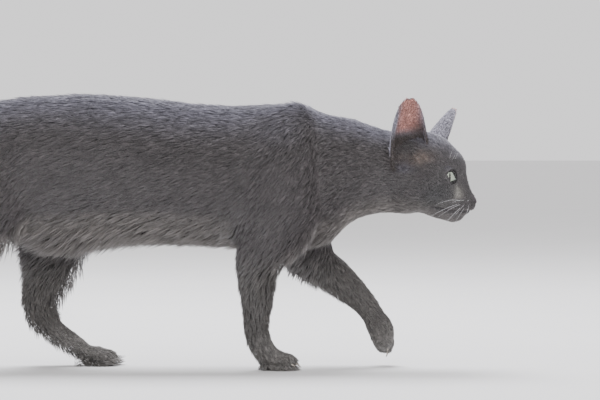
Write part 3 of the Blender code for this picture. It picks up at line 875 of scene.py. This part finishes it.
class Sock:
    """A shader socket or a number, for sums written as Python expressions."""

    def __init__(self, tree: bpy.types.NodeTree, value) -> None:
        """Keeps the tree and the socket or number."""
        self.tree, self.value = tree, value

    def _math(self, operation: str, *others, first=None) -> "Sock":
        """A Math node on this value and others."""
        node = self.tree.nodes.new("ShaderNodeMath")
        node.operation = operation
        values = [self if first is None else first, *others]
        for slot, value in enumerate(values):
            put(self.tree, node.inputs[slot], value)
        return Sock(self.tree, node.outputs[0])

    def __add__(self, other) -> "Sock":
        """The sum."""
        return self._math("ADD", other)

    def __radd__(self, other) -> "Sock":
        """The sum, turned round."""
        return self._math("ADD", other)

    def __sub__(self, other) -> "Sock":
        """The difference."""
        return self._math("SUBTRACT", other)

    def __rsub__(self, other) -> "Sock":
        """The difference, turned round."""
        return self._math("SUBTRACT", self, first=other)

    def __mul__(self, other) -> "Sock":
        """The product."""
        return self._math("MULTIPLY", other)

    def __rmul__(self, other) -> "Sock":
        """The product, turned round."""
        return self._math("MULTIPLY", other)

    def root(self) -> "Sock":
        """The square root."""
        return self._math("SQRT")

    def size(self) -> "Sock":
        """The value without its sign."""
        return self._math("ABSOLUTE")

    def held(self) -> "Sock":
        """The value held between 0 and 1."""
        return self._math("MAXIMUM", 0.0)._math("MINIMUM", 1.0)


def put(tree: bpy.types.NodeTree, socket: bpy.types.NodeSocket, value) -> None:
    """Links a socket or sets its value."""
    if isinstance(value, Sock):
        value = value.value
    if isinstance(value, bpy.types.NodeSocket):
        tree.links.new(value, socket)
    else:
        socket.default_value = value


class Paint:
    """Builds one material's nodes."""

    def __init__(self, name: str) -> None:
        """Makes the material with its one shader."""
        self.material = bpy.data.materials.new(name)
        self.material.use_nodes = True
        self.tree = self.material.node_tree
        self.shader = self.tree.nodes["Principled BSDF"]

    def node(self, kind: str, settings: dict | None = None, output: int = 0, **sockets) -> Sock:
        """Adds a node.

        Args:
            kind: The node's type without its ShaderNode prefix.
            settings: The node's own settings, set before its sockets.
            output: Which output is returned.
            **sockets: Values or links by socket name, with _ for a space.

        Returns:
            The output.
        """
        made = self.tree.nodes.new("ShaderNode" + kind)
        for key, value in (settings or {}).items():
            setattr(made, key, value)
        for key, value in sockets.items():
            put(self.tree, made.inputs[key.replace("_", " ")], value)
        return Sock(self.tree, made.outputs[output])

    def mix(self, share, a, b, blend: str = "MIX") -> Sock:
        """Two colours mixed by a share."""
        made = self.tree.nodes.new("ShaderNodeMix")
        made.data_type = "RGBA"
        made.blend_type = blend
        put(self.tree, made.inputs[0], share)
        put(self.tree, made.inputs[6], a)
        put(self.tree, made.inputs[7], b)
        return Sock(self.tree, made.outputs[2])

    def noise(self, scale: float, detail: float = 2.0, stretch=(1.0, 1.0, 1.0)) -> Sock:
        """Noise in the object's own millimetres.

        Args:
            scale: Blotches in each millimetre.
            detail: Finer layers.
            stretch: How much closer the blotches lie along each axis.

        Returns:
            A value from 0 to 1.
        """
        place = self.node("TexCoord", output=3)
        sized = self.node("Mapping", Vector=place, Scale=tuple(s / MM for s in stretch))
        return self.node("TexNoise", Vector=sized, Scale=scale, Detail=detail)

    def dress(self, **sockets) -> bpy.types.Material:
        """Sets the shader's sockets, by name with _ for a space."""
        for key, value in sockets.items():
            put(self.tree, self.shader.inputs[key.replace("_", " ")], value)
        return self.material


@dataclass(frozen=True)
class HairFinish:
    """Hair or bare skin that is coloured by the markings."""

    name: str
    roughness: float
    sheen: float
    grain: float  # how much the colour varies
    bump: float

    def material(self) -> bpy.types.Material:
        """The finish as a material."""
        paint = Paint(self.name)
        tint = paint.node("Attribute", {"attribute_name": "tint"})
        speckle = paint.noise(0.9, 3.0)
        light = (1.0 - self.grain) + speckle * (2 * self.grain)
        both = paint.node("CombineColor", Red=light, Green=light, Blue=light)
        colour = paint.mix(1.0, tint, both, "MULTIPLY")
        rough = (self.roughness - 0.08) + paint.noise(0.25) * 0.16
        sockets = {"Base_Color": colour, "Roughness": rough, "Sheen_Weight": self.sheen}
        sockets["Sheen_Roughness"] = 0.45
        sockets["Specular_IOR_Level"] = 0.35
        if self.bump:
            height = paint.noise(1.6, 2.0)
            sockets["Normal"] = paint.node(
                "Bump", Strength=self.bump, Distance=0.0004, Height=height
            )
        return paint.dress(**sockets)


@dataclass(frozen=True)
class PlainFinish:
    """A glossy finish of one colour with a slight cloudiness."""

    name: str
    colour: tuple[float, float, float]
    other: tuple[float, float, float]
    roughness: float
    coat: float = 0.0
    alpha: float = 1.0
    cloud: float = 0.6

    def material(self) -> bpy.types.Material:
        """The finish as a material."""
        paint = Paint(self.name)
        share = paint.noise(self.cloud, 3.0)
        colour = paint.mix(share, (*self.colour, 1), (*self.other, 1))
        rough = self.roughness + paint.noise(self.cloud * 2) * 0.04
        sockets = {"Base_Color": colour, "Roughness": rough, "Coat_Weight": self.coat}
        sockets["Alpha"] = self.alpha
        return paint.dress(**sockets)


@dataclass(frozen=True)
class IrisFinish:
    """A fibrous iris round an upright slit pupil. It reads the eye's own millimetres from "eye"."""

    name: str = "iris"
    inner: tuple[float, float, float] = (0.52, 0.56, 0.42)
    outer: tuple[float, float, float] = (0.34, 0.43, 0.37)
    rim: tuple[float, float, float] = (0.04, 0.042, 0.04)
    pupil: tuple[float, float, float] = (0.004, 0.004, 0.005)
    radius: float = 8.0
    slit: tuple[float, float] = (1.3, 4.6)  # half width and half height

    def material(self) -> bpy.types.Material:
        """The finish as a material."""
        paint = Paint(self.name)
        eye = paint.node("Attribute", {"attribute_name": "eye"}, output=1)
        across = paint.node("SeparateXYZ", Vector=eye, output=0)
        up = paint.node("SeparateXYZ", Vector=eye, output=1)
        out = (across * across + up * up).root()
        wide, high = self.slit
        lens = across.size() + up * up * (wide / high**2) - wide
        fibre = paint.noise(1.1, 4.0)
        share = (out * (1 / self.radius)) + (fibre - 0.5) * 0.5
        colour = paint.mix(share.held(), (*self.inner, 1), (*self.outer, 1))
        edge = ((out - (self.radius - 0.9)) * 1.1).held()
        colour = paint.mix(edge, colour, (*self.rim, 1))
        colour = paint.mix((lens * -4.0 + 0.5).held(), colour, (*self.pupil, 1))
        return paint.dress(Base_Color=colour, Roughness=fibre * 0.1 + 0.25, Coat_Weight=0.5)


# ---------------------------------------------------------------- eyes, whiskers and claws


def tube(bm: bmesh.types.BMesh, path: np.ndarray, radii: np.ndarray, sides: int = 5) -> None:
    """Adds a closed tube along a path.

    Args:
        bm: Where it is added.
        path: The places of its rings, in metres.
        radii: The radius at each.
        sides: Faces round it.
    """
    runs = np.gradient(path, axis=0)
    rings = []
    for i, (place, run, radius) in enumerate(zip(path, runs, radii)):
        turn = Vector(run).to_track_quat("Z", "Y").to_matrix().to_4x4()
        matrix = Matrix.Translation(place) @ turn
        ends = i in (0, len(path) - 1)
        made = bmesh.ops.create_circle(
            bm, cap_ends=ends, segments=sides, radius=radius, matrix=matrix
        )
        ring = set(made["verts"])
        links = {e for v in ring for e in v.link_edges}
        rings.append([e for e in links if set(e.verts) <= ring])
    for near, far in zip(rings, rings[1:]):
        bmesh.ops.bridge_loops(bm, edges=near + far)


@dataclass
class Eyeballs:
    """Both eyes: a globe with a sunk iris, and the clear cornea over it."""

    iris_radius: float = 8.0  # mm
    iris_dish: float = 0.7
    bulge: float = 0.75
    gaze: tuple[float, float] = (-38.0, 15.0)  # azimuth of the right and left eye, in degrees
    gaze_rise: float = 3.0

    def build(self) -> list[bpy.types.Object]:
        """Makes both eyes.

        Returns:
            The globes and corneas.
        """
        iris = IrisFinish().material()
        clear = PlainFinish(
            "cornea", (0.01, 0.012, 0.012), (0.02, 0.02, 0.02), 0.02, 1.0, 0.06, 0.05
        ).material()
        made = []
        for side, azimuth in zip(Side, self.gaze):
            turn = Matrix.Rotation(math.radians(azimuth), 4, "Z")
            turn = turn @ Matrix.Rotation(math.radians(90 - self.gaze_rise), 4, "Y")
            middle = EYE.middle(side)
            made.append(self._globe(side, turn, middle, iris))
            made.append(self._cornea(side, turn, middle, clear))
        return made

    def _place(self, bm: bmesh.types.BMesh, turn: Matrix, middle: np.ndarray) -> None:
        """Turns an eye's vertices, made about +Z in millimetres, into the head."""
        for vert in bm.verts:
            vert.co = HEAD.outside(np.array(turn.to_3x3() @ vert.co) + middle)

    def _globe(
        self, side: Side, turn: Matrix, middle: np.ndarray, iris: bpy.types.Material
    ) -> bpy.types.Object:
        """The globe, flattened to a dished iris in front."""
        bm = bmesh.new()
        bmesh.ops.create_uvsphere(bm, u_segments=48, v_segments=40, radius=EYE.radius - 0.15)
        level = math.sqrt((EYE.radius - 0.15) ** 2 - self.iris_radius**2)
        eye = bm.verts.layers.float_vector.new("eye")
        for vert in bm.verts:
            out = math.hypot(vert.co.x, vert.co.y)
            if vert.co.z > level:
                vert.co.z = level - self.iris_dish * (1 - out / self.iris_radius)
            vert[eye] = (vert.co.y, vert.co.x, vert.co.z)
            if vert.co.z < level - self.iris_dish - 0.5:
                vert[eye] = (20.0, 20.0, 0.0)
        self._place(bm, turn, middle)
        globe = mesh_object("globe_" + side.word, bm)
        globe.data.materials.append(iris)
        globe.data.shade_smooth()
        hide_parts("eye_" + side.word)
        return globe

    def _cornea(
        self, side: Side, turn: Matrix, middle: np.ndarray, clear: bpy.types.Material
    ) -> bpy.types.Object:
        """The clear cap over the iris, with a wall of its own."""
        bm = bmesh.new()
        bmesh.ops.create_uvsphere(bm, u_segments=48, v_segments=40, radius=EYE.radius)
        level = math.sqrt(EYE.radius**2 - (self.iris_radius + 0.2) ** 2)
        low = [v for v in bm.verts if v.co.z < level]
        bmesh.ops.delete(bm, geom=low, context="VERTS")
        for vert in bm.verts:
            out = math.hypot(vert.co.x, vert.co.y) / self.iris_radius
            vert.co.z += self.bulge * max(0.0, 1 - out * out) ** 1.5
        bmesh.ops.recalc_face_normals(bm, faces=bm.faces)
        bmesh.ops.solidify(bm, geom=bm.faces[:], thickness=0.25)
        bmesh.ops.recalc_face_normals(bm, faces=bm.faces)
        self._place(bm, turn, middle)
        cap = mesh_object("cornea_" + side.word, bm)
        cap.data.materials.append(clear)
        cap.data.shade_smooth()
        return cap


@dataclass
class Whiskers:
    """The whiskers of the pads and the longer hairs over the eyes."""

    rows: int = 3
    along: int = 4
    radius: float = 0.11  # mm
    steps: int = 12
    droop: float = 0.32
    brows: int = 3  # hairs over each eye
    brow_length: float = 20.0
    brow_droop: float = 0.2

    def build(self) -> bpy.types.Object:
        """Makes all whiskers as one mesh.

        Returns:
            The mesh's object.
        """
        chance = np.random.default_rng(SEED)
        bm = bmesh.new()
        for side in Side:
            for row in range(self.rows):
                for i in range(self.along):
                    if row in (0, self.rows - 1) and i == self.along - 1:
                        continue
                    root = np.array((20.5 - 3.0 * i, 10.0 + 1.25 * i, -22.0 - 2.3 * row))
                    lean = 0.15 - 0.26 * i - 0.05 * row
                    heading = np.array((lean, 1.0, 0.25 - 0.34 * row))
                    length = 26.0 + 8.0 * i - 3.0 * row
                    self._hair(bm, side, root, heading, length, self.droop, chance)
            for i in range(self.brows):
                root = np.array((7.0 - 2.4 * i, 13.0 + 2.0 * i, 12.4))
                heading = np.array((0.5, 0.6, 1.0))
                self._hair(bm, side, root, heading, self.brow_length, self.brow_droop, chance)
        obj = mesh_object("whiskers", bm)
        paint = PlainFinish("whisker_hair", (0.66, 0.66, 0.67), (0.5, 0.5, 0.52), 0.4, 0.1)
        obj.data.materials.append(paint.material())
        obj.data.shade_smooth()
        return obj

    def _hair(
        self,
        bm: bmesh.types.BMesh,
        side: Side,
        root: np.ndarray,
        heading: np.ndarray,
        length: float,
        droop: float,
        chance: np.random.Generator,
    ) -> None:
        """Adds one whisker that curves back and down to a fine tip.

        Args:
            bm: Where it is added.
            side: Which side of the face it grows on.
            root: Its root on the left side, in the head's millimetres.
            heading: The way it points there.
            length: Its length in millimetres.
            droop: How far its tip bends, of its length.
            chance: Where its random numbers come from.
        """
        flip = np.array((1.0, side.value, 1.0))
        heading = unit(heading * flip + chance.normal(0, 0.05, 3))
        length = length * chance.uniform(0.9, 1.1)
        t = np.linspace(0, 1, self.steps)[:, None]
        bend = np.array((-0.55, 0.0, -0.8)) * droop * length
        path = root * flip + heading * (t * length - 2.0) + bend * t**2
        radii = self.radius * (1 - t[:, 0]) ** 0.7 + 0.03
        tube(bm, HEAD.outside(path), radii * MM)


@dataclass
class Claws:
    """The tips of the claws, mostly drawn in between the toes."""

    length: float = 5.5  # mm
    radius: float = 1.15
    spacing: float = 6.8

    def build(self) -> bpy.types.Object:
        """Makes the claws of all paws as one mesh.

        Returns:
            The mesh's object.
        """
        bm = bmesh.new()
        for name in PAWS:
            low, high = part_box(name)
            middle = (low.y + high.y) / 2 / MM
            for place in (-1.5, -0.5, 0.5, 1.5):
                outer = 4.4 if abs(place) > 1 else 0.0
                if name == "forepaw_left":
                    root = np.array((high.x / MM - 7.5, 0, low.z / MM + 3.4 + outer))
                    ahead, down = np.array((0.35, 0, -1.0)), np.array((-1.0, 0, -0.3))
                else:
                    root = np.array((high.x / MM - 3.6 - outer, 0, 6.0))
                    ahead, down = np.array((1.0, 0, -0.25)), np.array((-0.25, 0, -1.0))
                root[1] = middle + place * self.spacing
                t = np.linspace(0, 1, 6)[:, None]
                path = root + ahead * self.length * t + down * 2.6 * t**2 * t
                radii = self.radius * (1 - t[:, 0]) ** 0.8 + 0.05
                tube(bm, path * MM, radii * MM, sides=8)
        obj = mesh_object("claws", bm)
        paint = PlainFinish("claw_horn", (0.5, 0.45, 0.4), (0.3, 0.26, 0.23), 0.25, 0.3)
        obj.data.materials.append(paint.material())
        obj.data.shade_smooth()
        return obj


# ---------------------------------------------------------------- the coat


@dataclass
class Tufts:
    """Rows of numbers that say where each tuft of a piece grows and how."""

    root: np.ndarray
    normal: np.ndarray
    flow: np.ndarray
    length: np.ndarray  # metres
    width: np.ndarray
    lift: np.ndarray  # radians off the skin at the root
    colour: np.ndarray
    unwrap: np.ndarray


@dataclass
class Coat:
    """The coat as pieces of closed tufts: a point at the root, a ring of three and a point at the tip."""

    skin: Skin
    markings: Markings
    most: int = 33000  # tufts in a piece
    patch: float = 0.003  # size of a tuft on the unwrap
    lift: float = math.radians(15.0)
    fringe_lift: float = math.radians(46.0)
    clump: int = 7  # tufts that lean together
    pull: float = 0.45
    # Painted shade darkens each tuft's root deep in the coat; its outer ring corner and tip are lighter,
    # the hair's paler end with painted light on the coat's outside.
    shades: tuple[float, ...] = (0.55, 0.92, 0.92, 1.0, 1.32)  # root, the ring's three, tip
    groups: tuple[str, ...] = ("head", "trunk", "legs", "tail")

    def build(self) -> list[bpy.types.Object]:
        """Grows the coat.

        Returns:
            Its pieces.
        """
        fields = self.skin.fields
        surface = fields["surface"]
        corners = surface.places[surface.triangles]
        cross = np.cross(corners[:, 1] - corners[:, 0], corners[:, 2] - corners[:, 0])
        area = np.linalg.norm(cross, axis=1) / 2
        label = nearest_node(corners.mean(axis=1), FLESH)
        ear = fields["ear"][surface.triangles[:, 0]]
        for i, shape in enumerate(EAR_SHAPES, 1):
            label[ear == i] = FLESH.index(shape.name)
        cover = np.array([LIES[n].cover for n in FLESH])[label]
        size = fields["length"] * fields["width"]
        size = size[surface.triangles].mean(axis=1) * MM * MM * 0.5
        wanted = cover * area / np.maximum(size, 1e-9) * self._grows(fields, surface)
        finish = HairFinish("coat", 0.62, 0.25, 0.1, 0.0).material()
        made = []
        group_of = np.array([self.groups.index(LIES[n].group) for n in FLESH])[label]
        right = corners.mean(axis=1)[:, 1] < 0
        for i, group in enumerate(self.groups):
            for side in Side:
                own = (group_of == i) & (right == (side is Side.RIGHT))
                name = f"coat_{group}_{side.word}"
                made.append(self._piece(name, np.flatnonzero(own), wanted, label, finish))
        return made

    def _grows(self, fields: dict, surface: Surface) -> np.ndarray:
        """1 where hair grows on a triangle, less or 0 on bare skin."""
        head = fields["in_head"]
        bare = self.markings.nose_share(head)
        for side in Side:
            reach, ahead, _, _, past = EYE.seen(head, side)
            near = (reach < 15.0) & (ahead > 0)
            bare = np.maximum(bare, near * smoothstep(8.0, 5.0, past))
        sole = smoothstep(0.0012, 0.0004, surface.places[:, 2])
        bare = np.maximum(bare, sole)
        return 1 - bare[surface.triangles].max(axis=1)

    def _piece(
        self,
        name: str,
        own: np.ndarray,
        wanted: np.ndarray,
        label: np.ndarray,
        finish: bpy.types.Material,
    ) -> bpy.types.Object:
        """Grows one piece on its own triangles.

        Args:
            name: The piece's name.
            own: The triangles it grows on.
            wanted: How many tufts each triangle of the skin should carry.
            label: The solid that each triangle belongs to.
            finish: The coat's material.

        Returns:
            The piece.
        """
        chance = np.random.default_rng(SEED + len(name))
        share = np.cumsum(wanted[own])
        count = int(min(share[-1], self.most))
        steps = (np.arange(count) + chance.uniform(0, 1, count)) / count * share[-1]
        chosen = own[np.minimum(np.searchsorted(share, steps), len(own) - 1)]
        LOG.info("%s: %d tufts of %d wanted", name, count, int(share[-1]))
        tufts = self._grow(chosen, label, chance)
        return self._mesh(name, tufts, finish, chance)

    def _grow(self, chosen: np.ndarray, label: np.ndarray, chance: np.random.Generator) -> Tufts:
        """Reads the skin's values at a random place on each chosen triangle."""
        fields = self.skin.fields
        surface = fields["surface"]
        count = len(chosen)
        a, b = np.sqrt(chance.uniform(0, 1, count)), chance.uniform(0, 1, count)
        weights = np.column_stack([1 - a, a * (1 - b), a * b])[:, :, None]
        corners = surface.triangles[chosen]

        def at(rows: np.ndarray) -> np.ndarray:
            return np.sum(rows.reshape(surface.count, -1)[corners] * weights, axis=1)

        normal = unit(at(surface.normals))
        flow = at(fields["flow"])
        flow = unit(flow - normal * dot(flow, normal))
        sideways = np.cross(normal, flow)
        loose = np.array([LIES[n].loose for n in FLESH])[label[chosen]][:, None]
        stray = chance.normal(0, 1, (count, 1)) * loose
        flow = unit(flow + sideways * stray)
        root = at(surface.places)
        ear = fields["ear"][corners[:, 0]]
        return Tufts(
            root=root,
            normal=normal,
            flow=flow,
            length=at(fields["length"])[:, 0] * MM * chance.uniform(0.75, 1.2, count),
            width=at(fields["width"])[:, 0] * MM * chance.uniform(0.8, 1.2, count),
            lift=self._lifts(at(fields["belly"])[:, 0], chance),
            colour=self.markings.colours(root, normal, ear),
            unwrap=self._unwrap(root, label[chosen]),
        )

    def _lifts(self, belly: np.ndarray, chance: np.random.Generator) -> np.ndarray:
        """How steeply each tuft leaves the skin: least on the back, most in the belly's fringe."""
        lift = self.lift * chance.uniform(0.6, 1.4, len(belly))
        return lift + belly * self.fringe_lift * chance.uniform(0.7, 1.2, len(belly))

    @staticmethod
    def _unwrap(root: np.ndarray, label: np.ndarray) -> np.ndarray:
        """Places on an unwrap of the skin: each part rolled off round its own length, in a band."""
        kinds = np.unique(label)
        made = np.zeros((len(root), 2))
        for band, kind in enumerate(kinds):
            own = label == kind
            places = root[own]
            middle = places.mean(axis=0)
            _, axes = np.linalg.eigh(np.cov((places - middle).T))
            local = (places - middle) @ axes
            along = local[:, 2]
            low, high = along.min(), along.max()
            turn = np.arctan2(local[:, 1], local[:, 0]) / (2 * math.pi) + 0.5
            made[own, 0] = 0.01 + 0.98 * (along - low) / max(high - low, 1e-6)
            made[own, 1] = (band + 0.03 + 0.94 * turn) / len(kinds)
        return made

    def _mesh(
        self,
        name: str,
        tufts: Tufts,
        finish: bpy.types.Material,
        chance: np.random.Generator,
    ) -> bpy.types.Object:
        """Turns rows of tufts into one mesh of closed spindles.

        Args:
            name: The piece's name.
            tufts: Where the tufts grow and how.
            finish: The coat's material.
            chance: Where the random numbers come from.

        Returns:
            The piece.
        """
        count = len(tufts.root)
        length, width = tufts.length[:, None], tufts.width[:, None]
        steep, low = tufts.lift[:, None] * 1.35, tufts.lift[:, None] * 0.6
        first = tufts.flow * np.cos(steep) + tufts.normal * np.sin(steep)
        second = tufts.flow * np.cos(low) + tufts.normal * np.sin(low)
        middle = tufts.root + first * length * 0.45
        tip = middle + second * length * 0.55
        lead, tone = self._clumps(tufts, tip, chance)
        middle = middle + (lead - tip) * self.pull * 0.3
        tip = tip + (lead - tip) * self.pull
        run = unit(tip - tufts.root)
        side = unit(np.cross(tufts.normal, run))
        up = np.cross(run, side)
        places = np.stack(
            [
                tufts.root - tufts.normal * 0.0004,
                middle - side * width / 2,
                middle + side * width / 2,
                middle + up * width * 0.38,
                tip,
            ],
            axis=1,
        )
        # Painted shade towards each tuft's root and painted light towards its tip.
        shade = np.array(self.shades)[None, :, None]
        colour = tufts.colour[:, None, :] * shade * tone[:, None, None]
        patch = np.array([(0, -0.5), (-0.5, 0), (0.5, 0), (0, 0.1), (0, 0.5)]) * self.patch
        unwrap = tufts.unwrap[:, None, :] + patch[None]
        faces = np.array([(1, 2, 4), (2, 3, 4), (3, 1, 4), (2, 1, 0), (3, 2, 0), (1, 3, 0)])
        corners = (np.arange(count)[:, None, None] * 5 + faces[None]).reshape(-1)
        obj = array_object(name, places.reshape(-1, 3), corners, finish)
        add_tint(obj.data, np.clip(colour, 0.0, 1.0).reshape(-1, 3))
        layer = obj.data.uv_layers.new(name="OFBake")
        layer.data.foreach_set("uv", unwrap.reshape(-1, 2)[corners].astype(np.float32).ravel())
        return obj

    def _clumps(
        self, tufts: Tufts, tip: np.ndarray, chance: np.random.Generator
    ) -> tuple[np.ndarray, np.ndarray]:
        """For each tuft, the tip that its clump leans to, and the clump's lightness."""
        leaders = np.arange(0, len(tip), self.clump) + chance.integers(0, 3)
        leaders = leaders[leaders < len(tip)]
        tree = KDTree(len(leaders))
        for i in leaders:
            tree.insert(tufts.root[i], i)
        tree.balance()
        lead = np.array([tree.find(root)[1] for root in tufts.root])
        tone = np.exp(chance.normal(0, 0.2, len(tip)))[lead]
        return tip[lead], tone * np.exp(chance.normal(0, 0.1, len(tip)))


def array_object(
    name: str, places: np.ndarray, corners: np.ndarray, finish: bpy.types.Material
) -> bpy.types.Object:
    """A mesh object of triangles from arrays.

    Args:
        name: The piece's name.
        places: Its vertices in metres.
        corners: The vertices of its triangles, one after another.
        finish: Its material.

    Returns:
        The object.
    """
    mesh = bpy.data.meshes.new(name)
    mesh.vertices.add(len(places))
    mesh.vertices.foreach_set("co", places.astype(np.float32).ravel())
    mesh.loops.add(len(corners))
    mesh.loops.foreach_set("vertex_index", corners.astype(np.int32))
    mesh.polygons.add(len(corners) // 3)
    mesh.polygons.foreach_set("loop_start", np.arange(0, len(corners), 3, dtype=np.int32))
    mesh.update(calc_edges=True)
    mesh.shade_smooth()
    mesh.materials.append(finish)
    return linked(name, mesh)


def add_tint(mesh: bpy.types.Mesh, colours: np.ndarray) -> None:
    """Stores a colour for each vertex, which the finishes read as "tint"."""
    layer = mesh.color_attributes.new(name="tint", type="FLOAT_COLOR", domain="POINT")
    rows = np.column_stack([colours, np.ones(len(colours))])
    layer.data.foreach_set("color", rows.astype(np.float32).ravel())


# ---------------------------------------------------------------- the studio


@dataclass(frozen=True)
class Softbox:
    """A soft square light."""

    name: str
    place: tuple[float, float, float]
    aim: tuple[float, float, float]
    size: float
    power: float
    colour: tuple[float, float, float]

    def build(self) -> None:
        """Adds the light."""
        light = bpy.data.lights.new(self.name, "AREA")
        light.shape = "SQUARE"
        light.size = self.size
        light.energy = self.power
        light.color = self.colour
        obj = linked(self.name, light)
        obj.location = self.place
        way = Vector(self.aim) - Vector(self.place)
        obj.rotation_euler = way.to_track_quat("-Z", "Y").to_euler()


@dataclass
class Studio:
    """The floor, the lights and the camera."""

    camera_place: tuple[float, float, float] = (0.1831, -2.5, 0.2)
    camera_tilt: float = 88.913  # degrees from straight down
    lens: float = 166.0
    boxes: tuple[Softbox, ...] = (
        Softbox("sky", (-0.1, 0.8, 2.2), (0.05, 0.0, 0.15), 1.3, 105.0, (0.95, 0.96, 1.0)),
        Softbox("fill", (1.6, -2.4, 0.8), (0.1, 0.0, 0.12), 1.4, 24.0, (1.0, 0.97, 0.93)),
    )

    def build(self) -> None:
        """Adds them to the scene."""
        bm = bmesh.new()
        bmesh.ops.create_circle(bm, cap_ends=True, segments=64, radius=40.0)
        floor = mesh_object("floor", bm)
        paint = Paint("floor_paint")
        share = paint.noise(0.004, 2.0)
        colour = paint.mix(share, (0.72, 0.715, 0.72, 1), (0.76, 0.755, 0.755, 1))
        floor.data.materials.append(paint.dress(Base_Color=colour, Roughness=0.85))
        for box in self.boxes:
            box.build()
        world = bpy.data.worlds.new("studio")
        world.use_nodes = True
        back = world.node_tree.nodes["Background"]
        back.inputs["Color"].default_value = (0.93, 0.92, 0.93, 1)
        back.inputs["Strength"].default_value = 1.35
        bpy.context.scene.world = world
        camera = bpy.data.cameras.new("camera")
        camera.lens = self.lens
        camera.sensor_width = 36.0
        camera.clip_start, camera.clip_end = 0.05, 200.0
        obj = linked("camera", camera)
        obj.location = self.camera_place
        obj.rotation_euler = (math.radians(self.camera_tilt), 0.0, 0.0)
        bpy.context.scene.camera = obj


def main() -> None:
    """Builds the cat's looks piece by piece."""
    logging.basicConfig(level=logging.INFO, format="%(name)s: %(message)s", stream=sys.stdout)
    Studio().build()
    markings = Markings()
    skin = Skin()
    body = skin.build()
    fields = skin.fields
    surface = fields["surface"]
    colours = markings.colours(surface.places, surface.normals, fields["ear"])
    # The skin under the coat takes the markings darker: painted shade that gives the coat its depth.
    add_tint(body.data, colours * 0.8)
    body.data.materials.clear()
    body.data.materials.append(HairFinish("skin", 0.6, 0.1, 0.15, 0.5).material())
    body.data.shade_smooth()
    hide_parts(*FLESH)
    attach(body, "root")
    LOG.info("skin: %d triangles", len(surface.triangles))
    for piece in Eyeballs().build():
        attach(piece, "root")
    for maker, slot in ((Whiskers(), "whisker"), (Claws(), "claw")):
        piece = maker.build()
        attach(piece, "root")
        LOG.info("%s: %d faces", piece.name, len(piece.data.polygons))
    for piece in Coat(skin, markings).build():
        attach(piece, "root")
        LOG.info("%s: %d triangles", piece.name, len(piece.data.polygons))


if __name__ == "__main__":
    main()
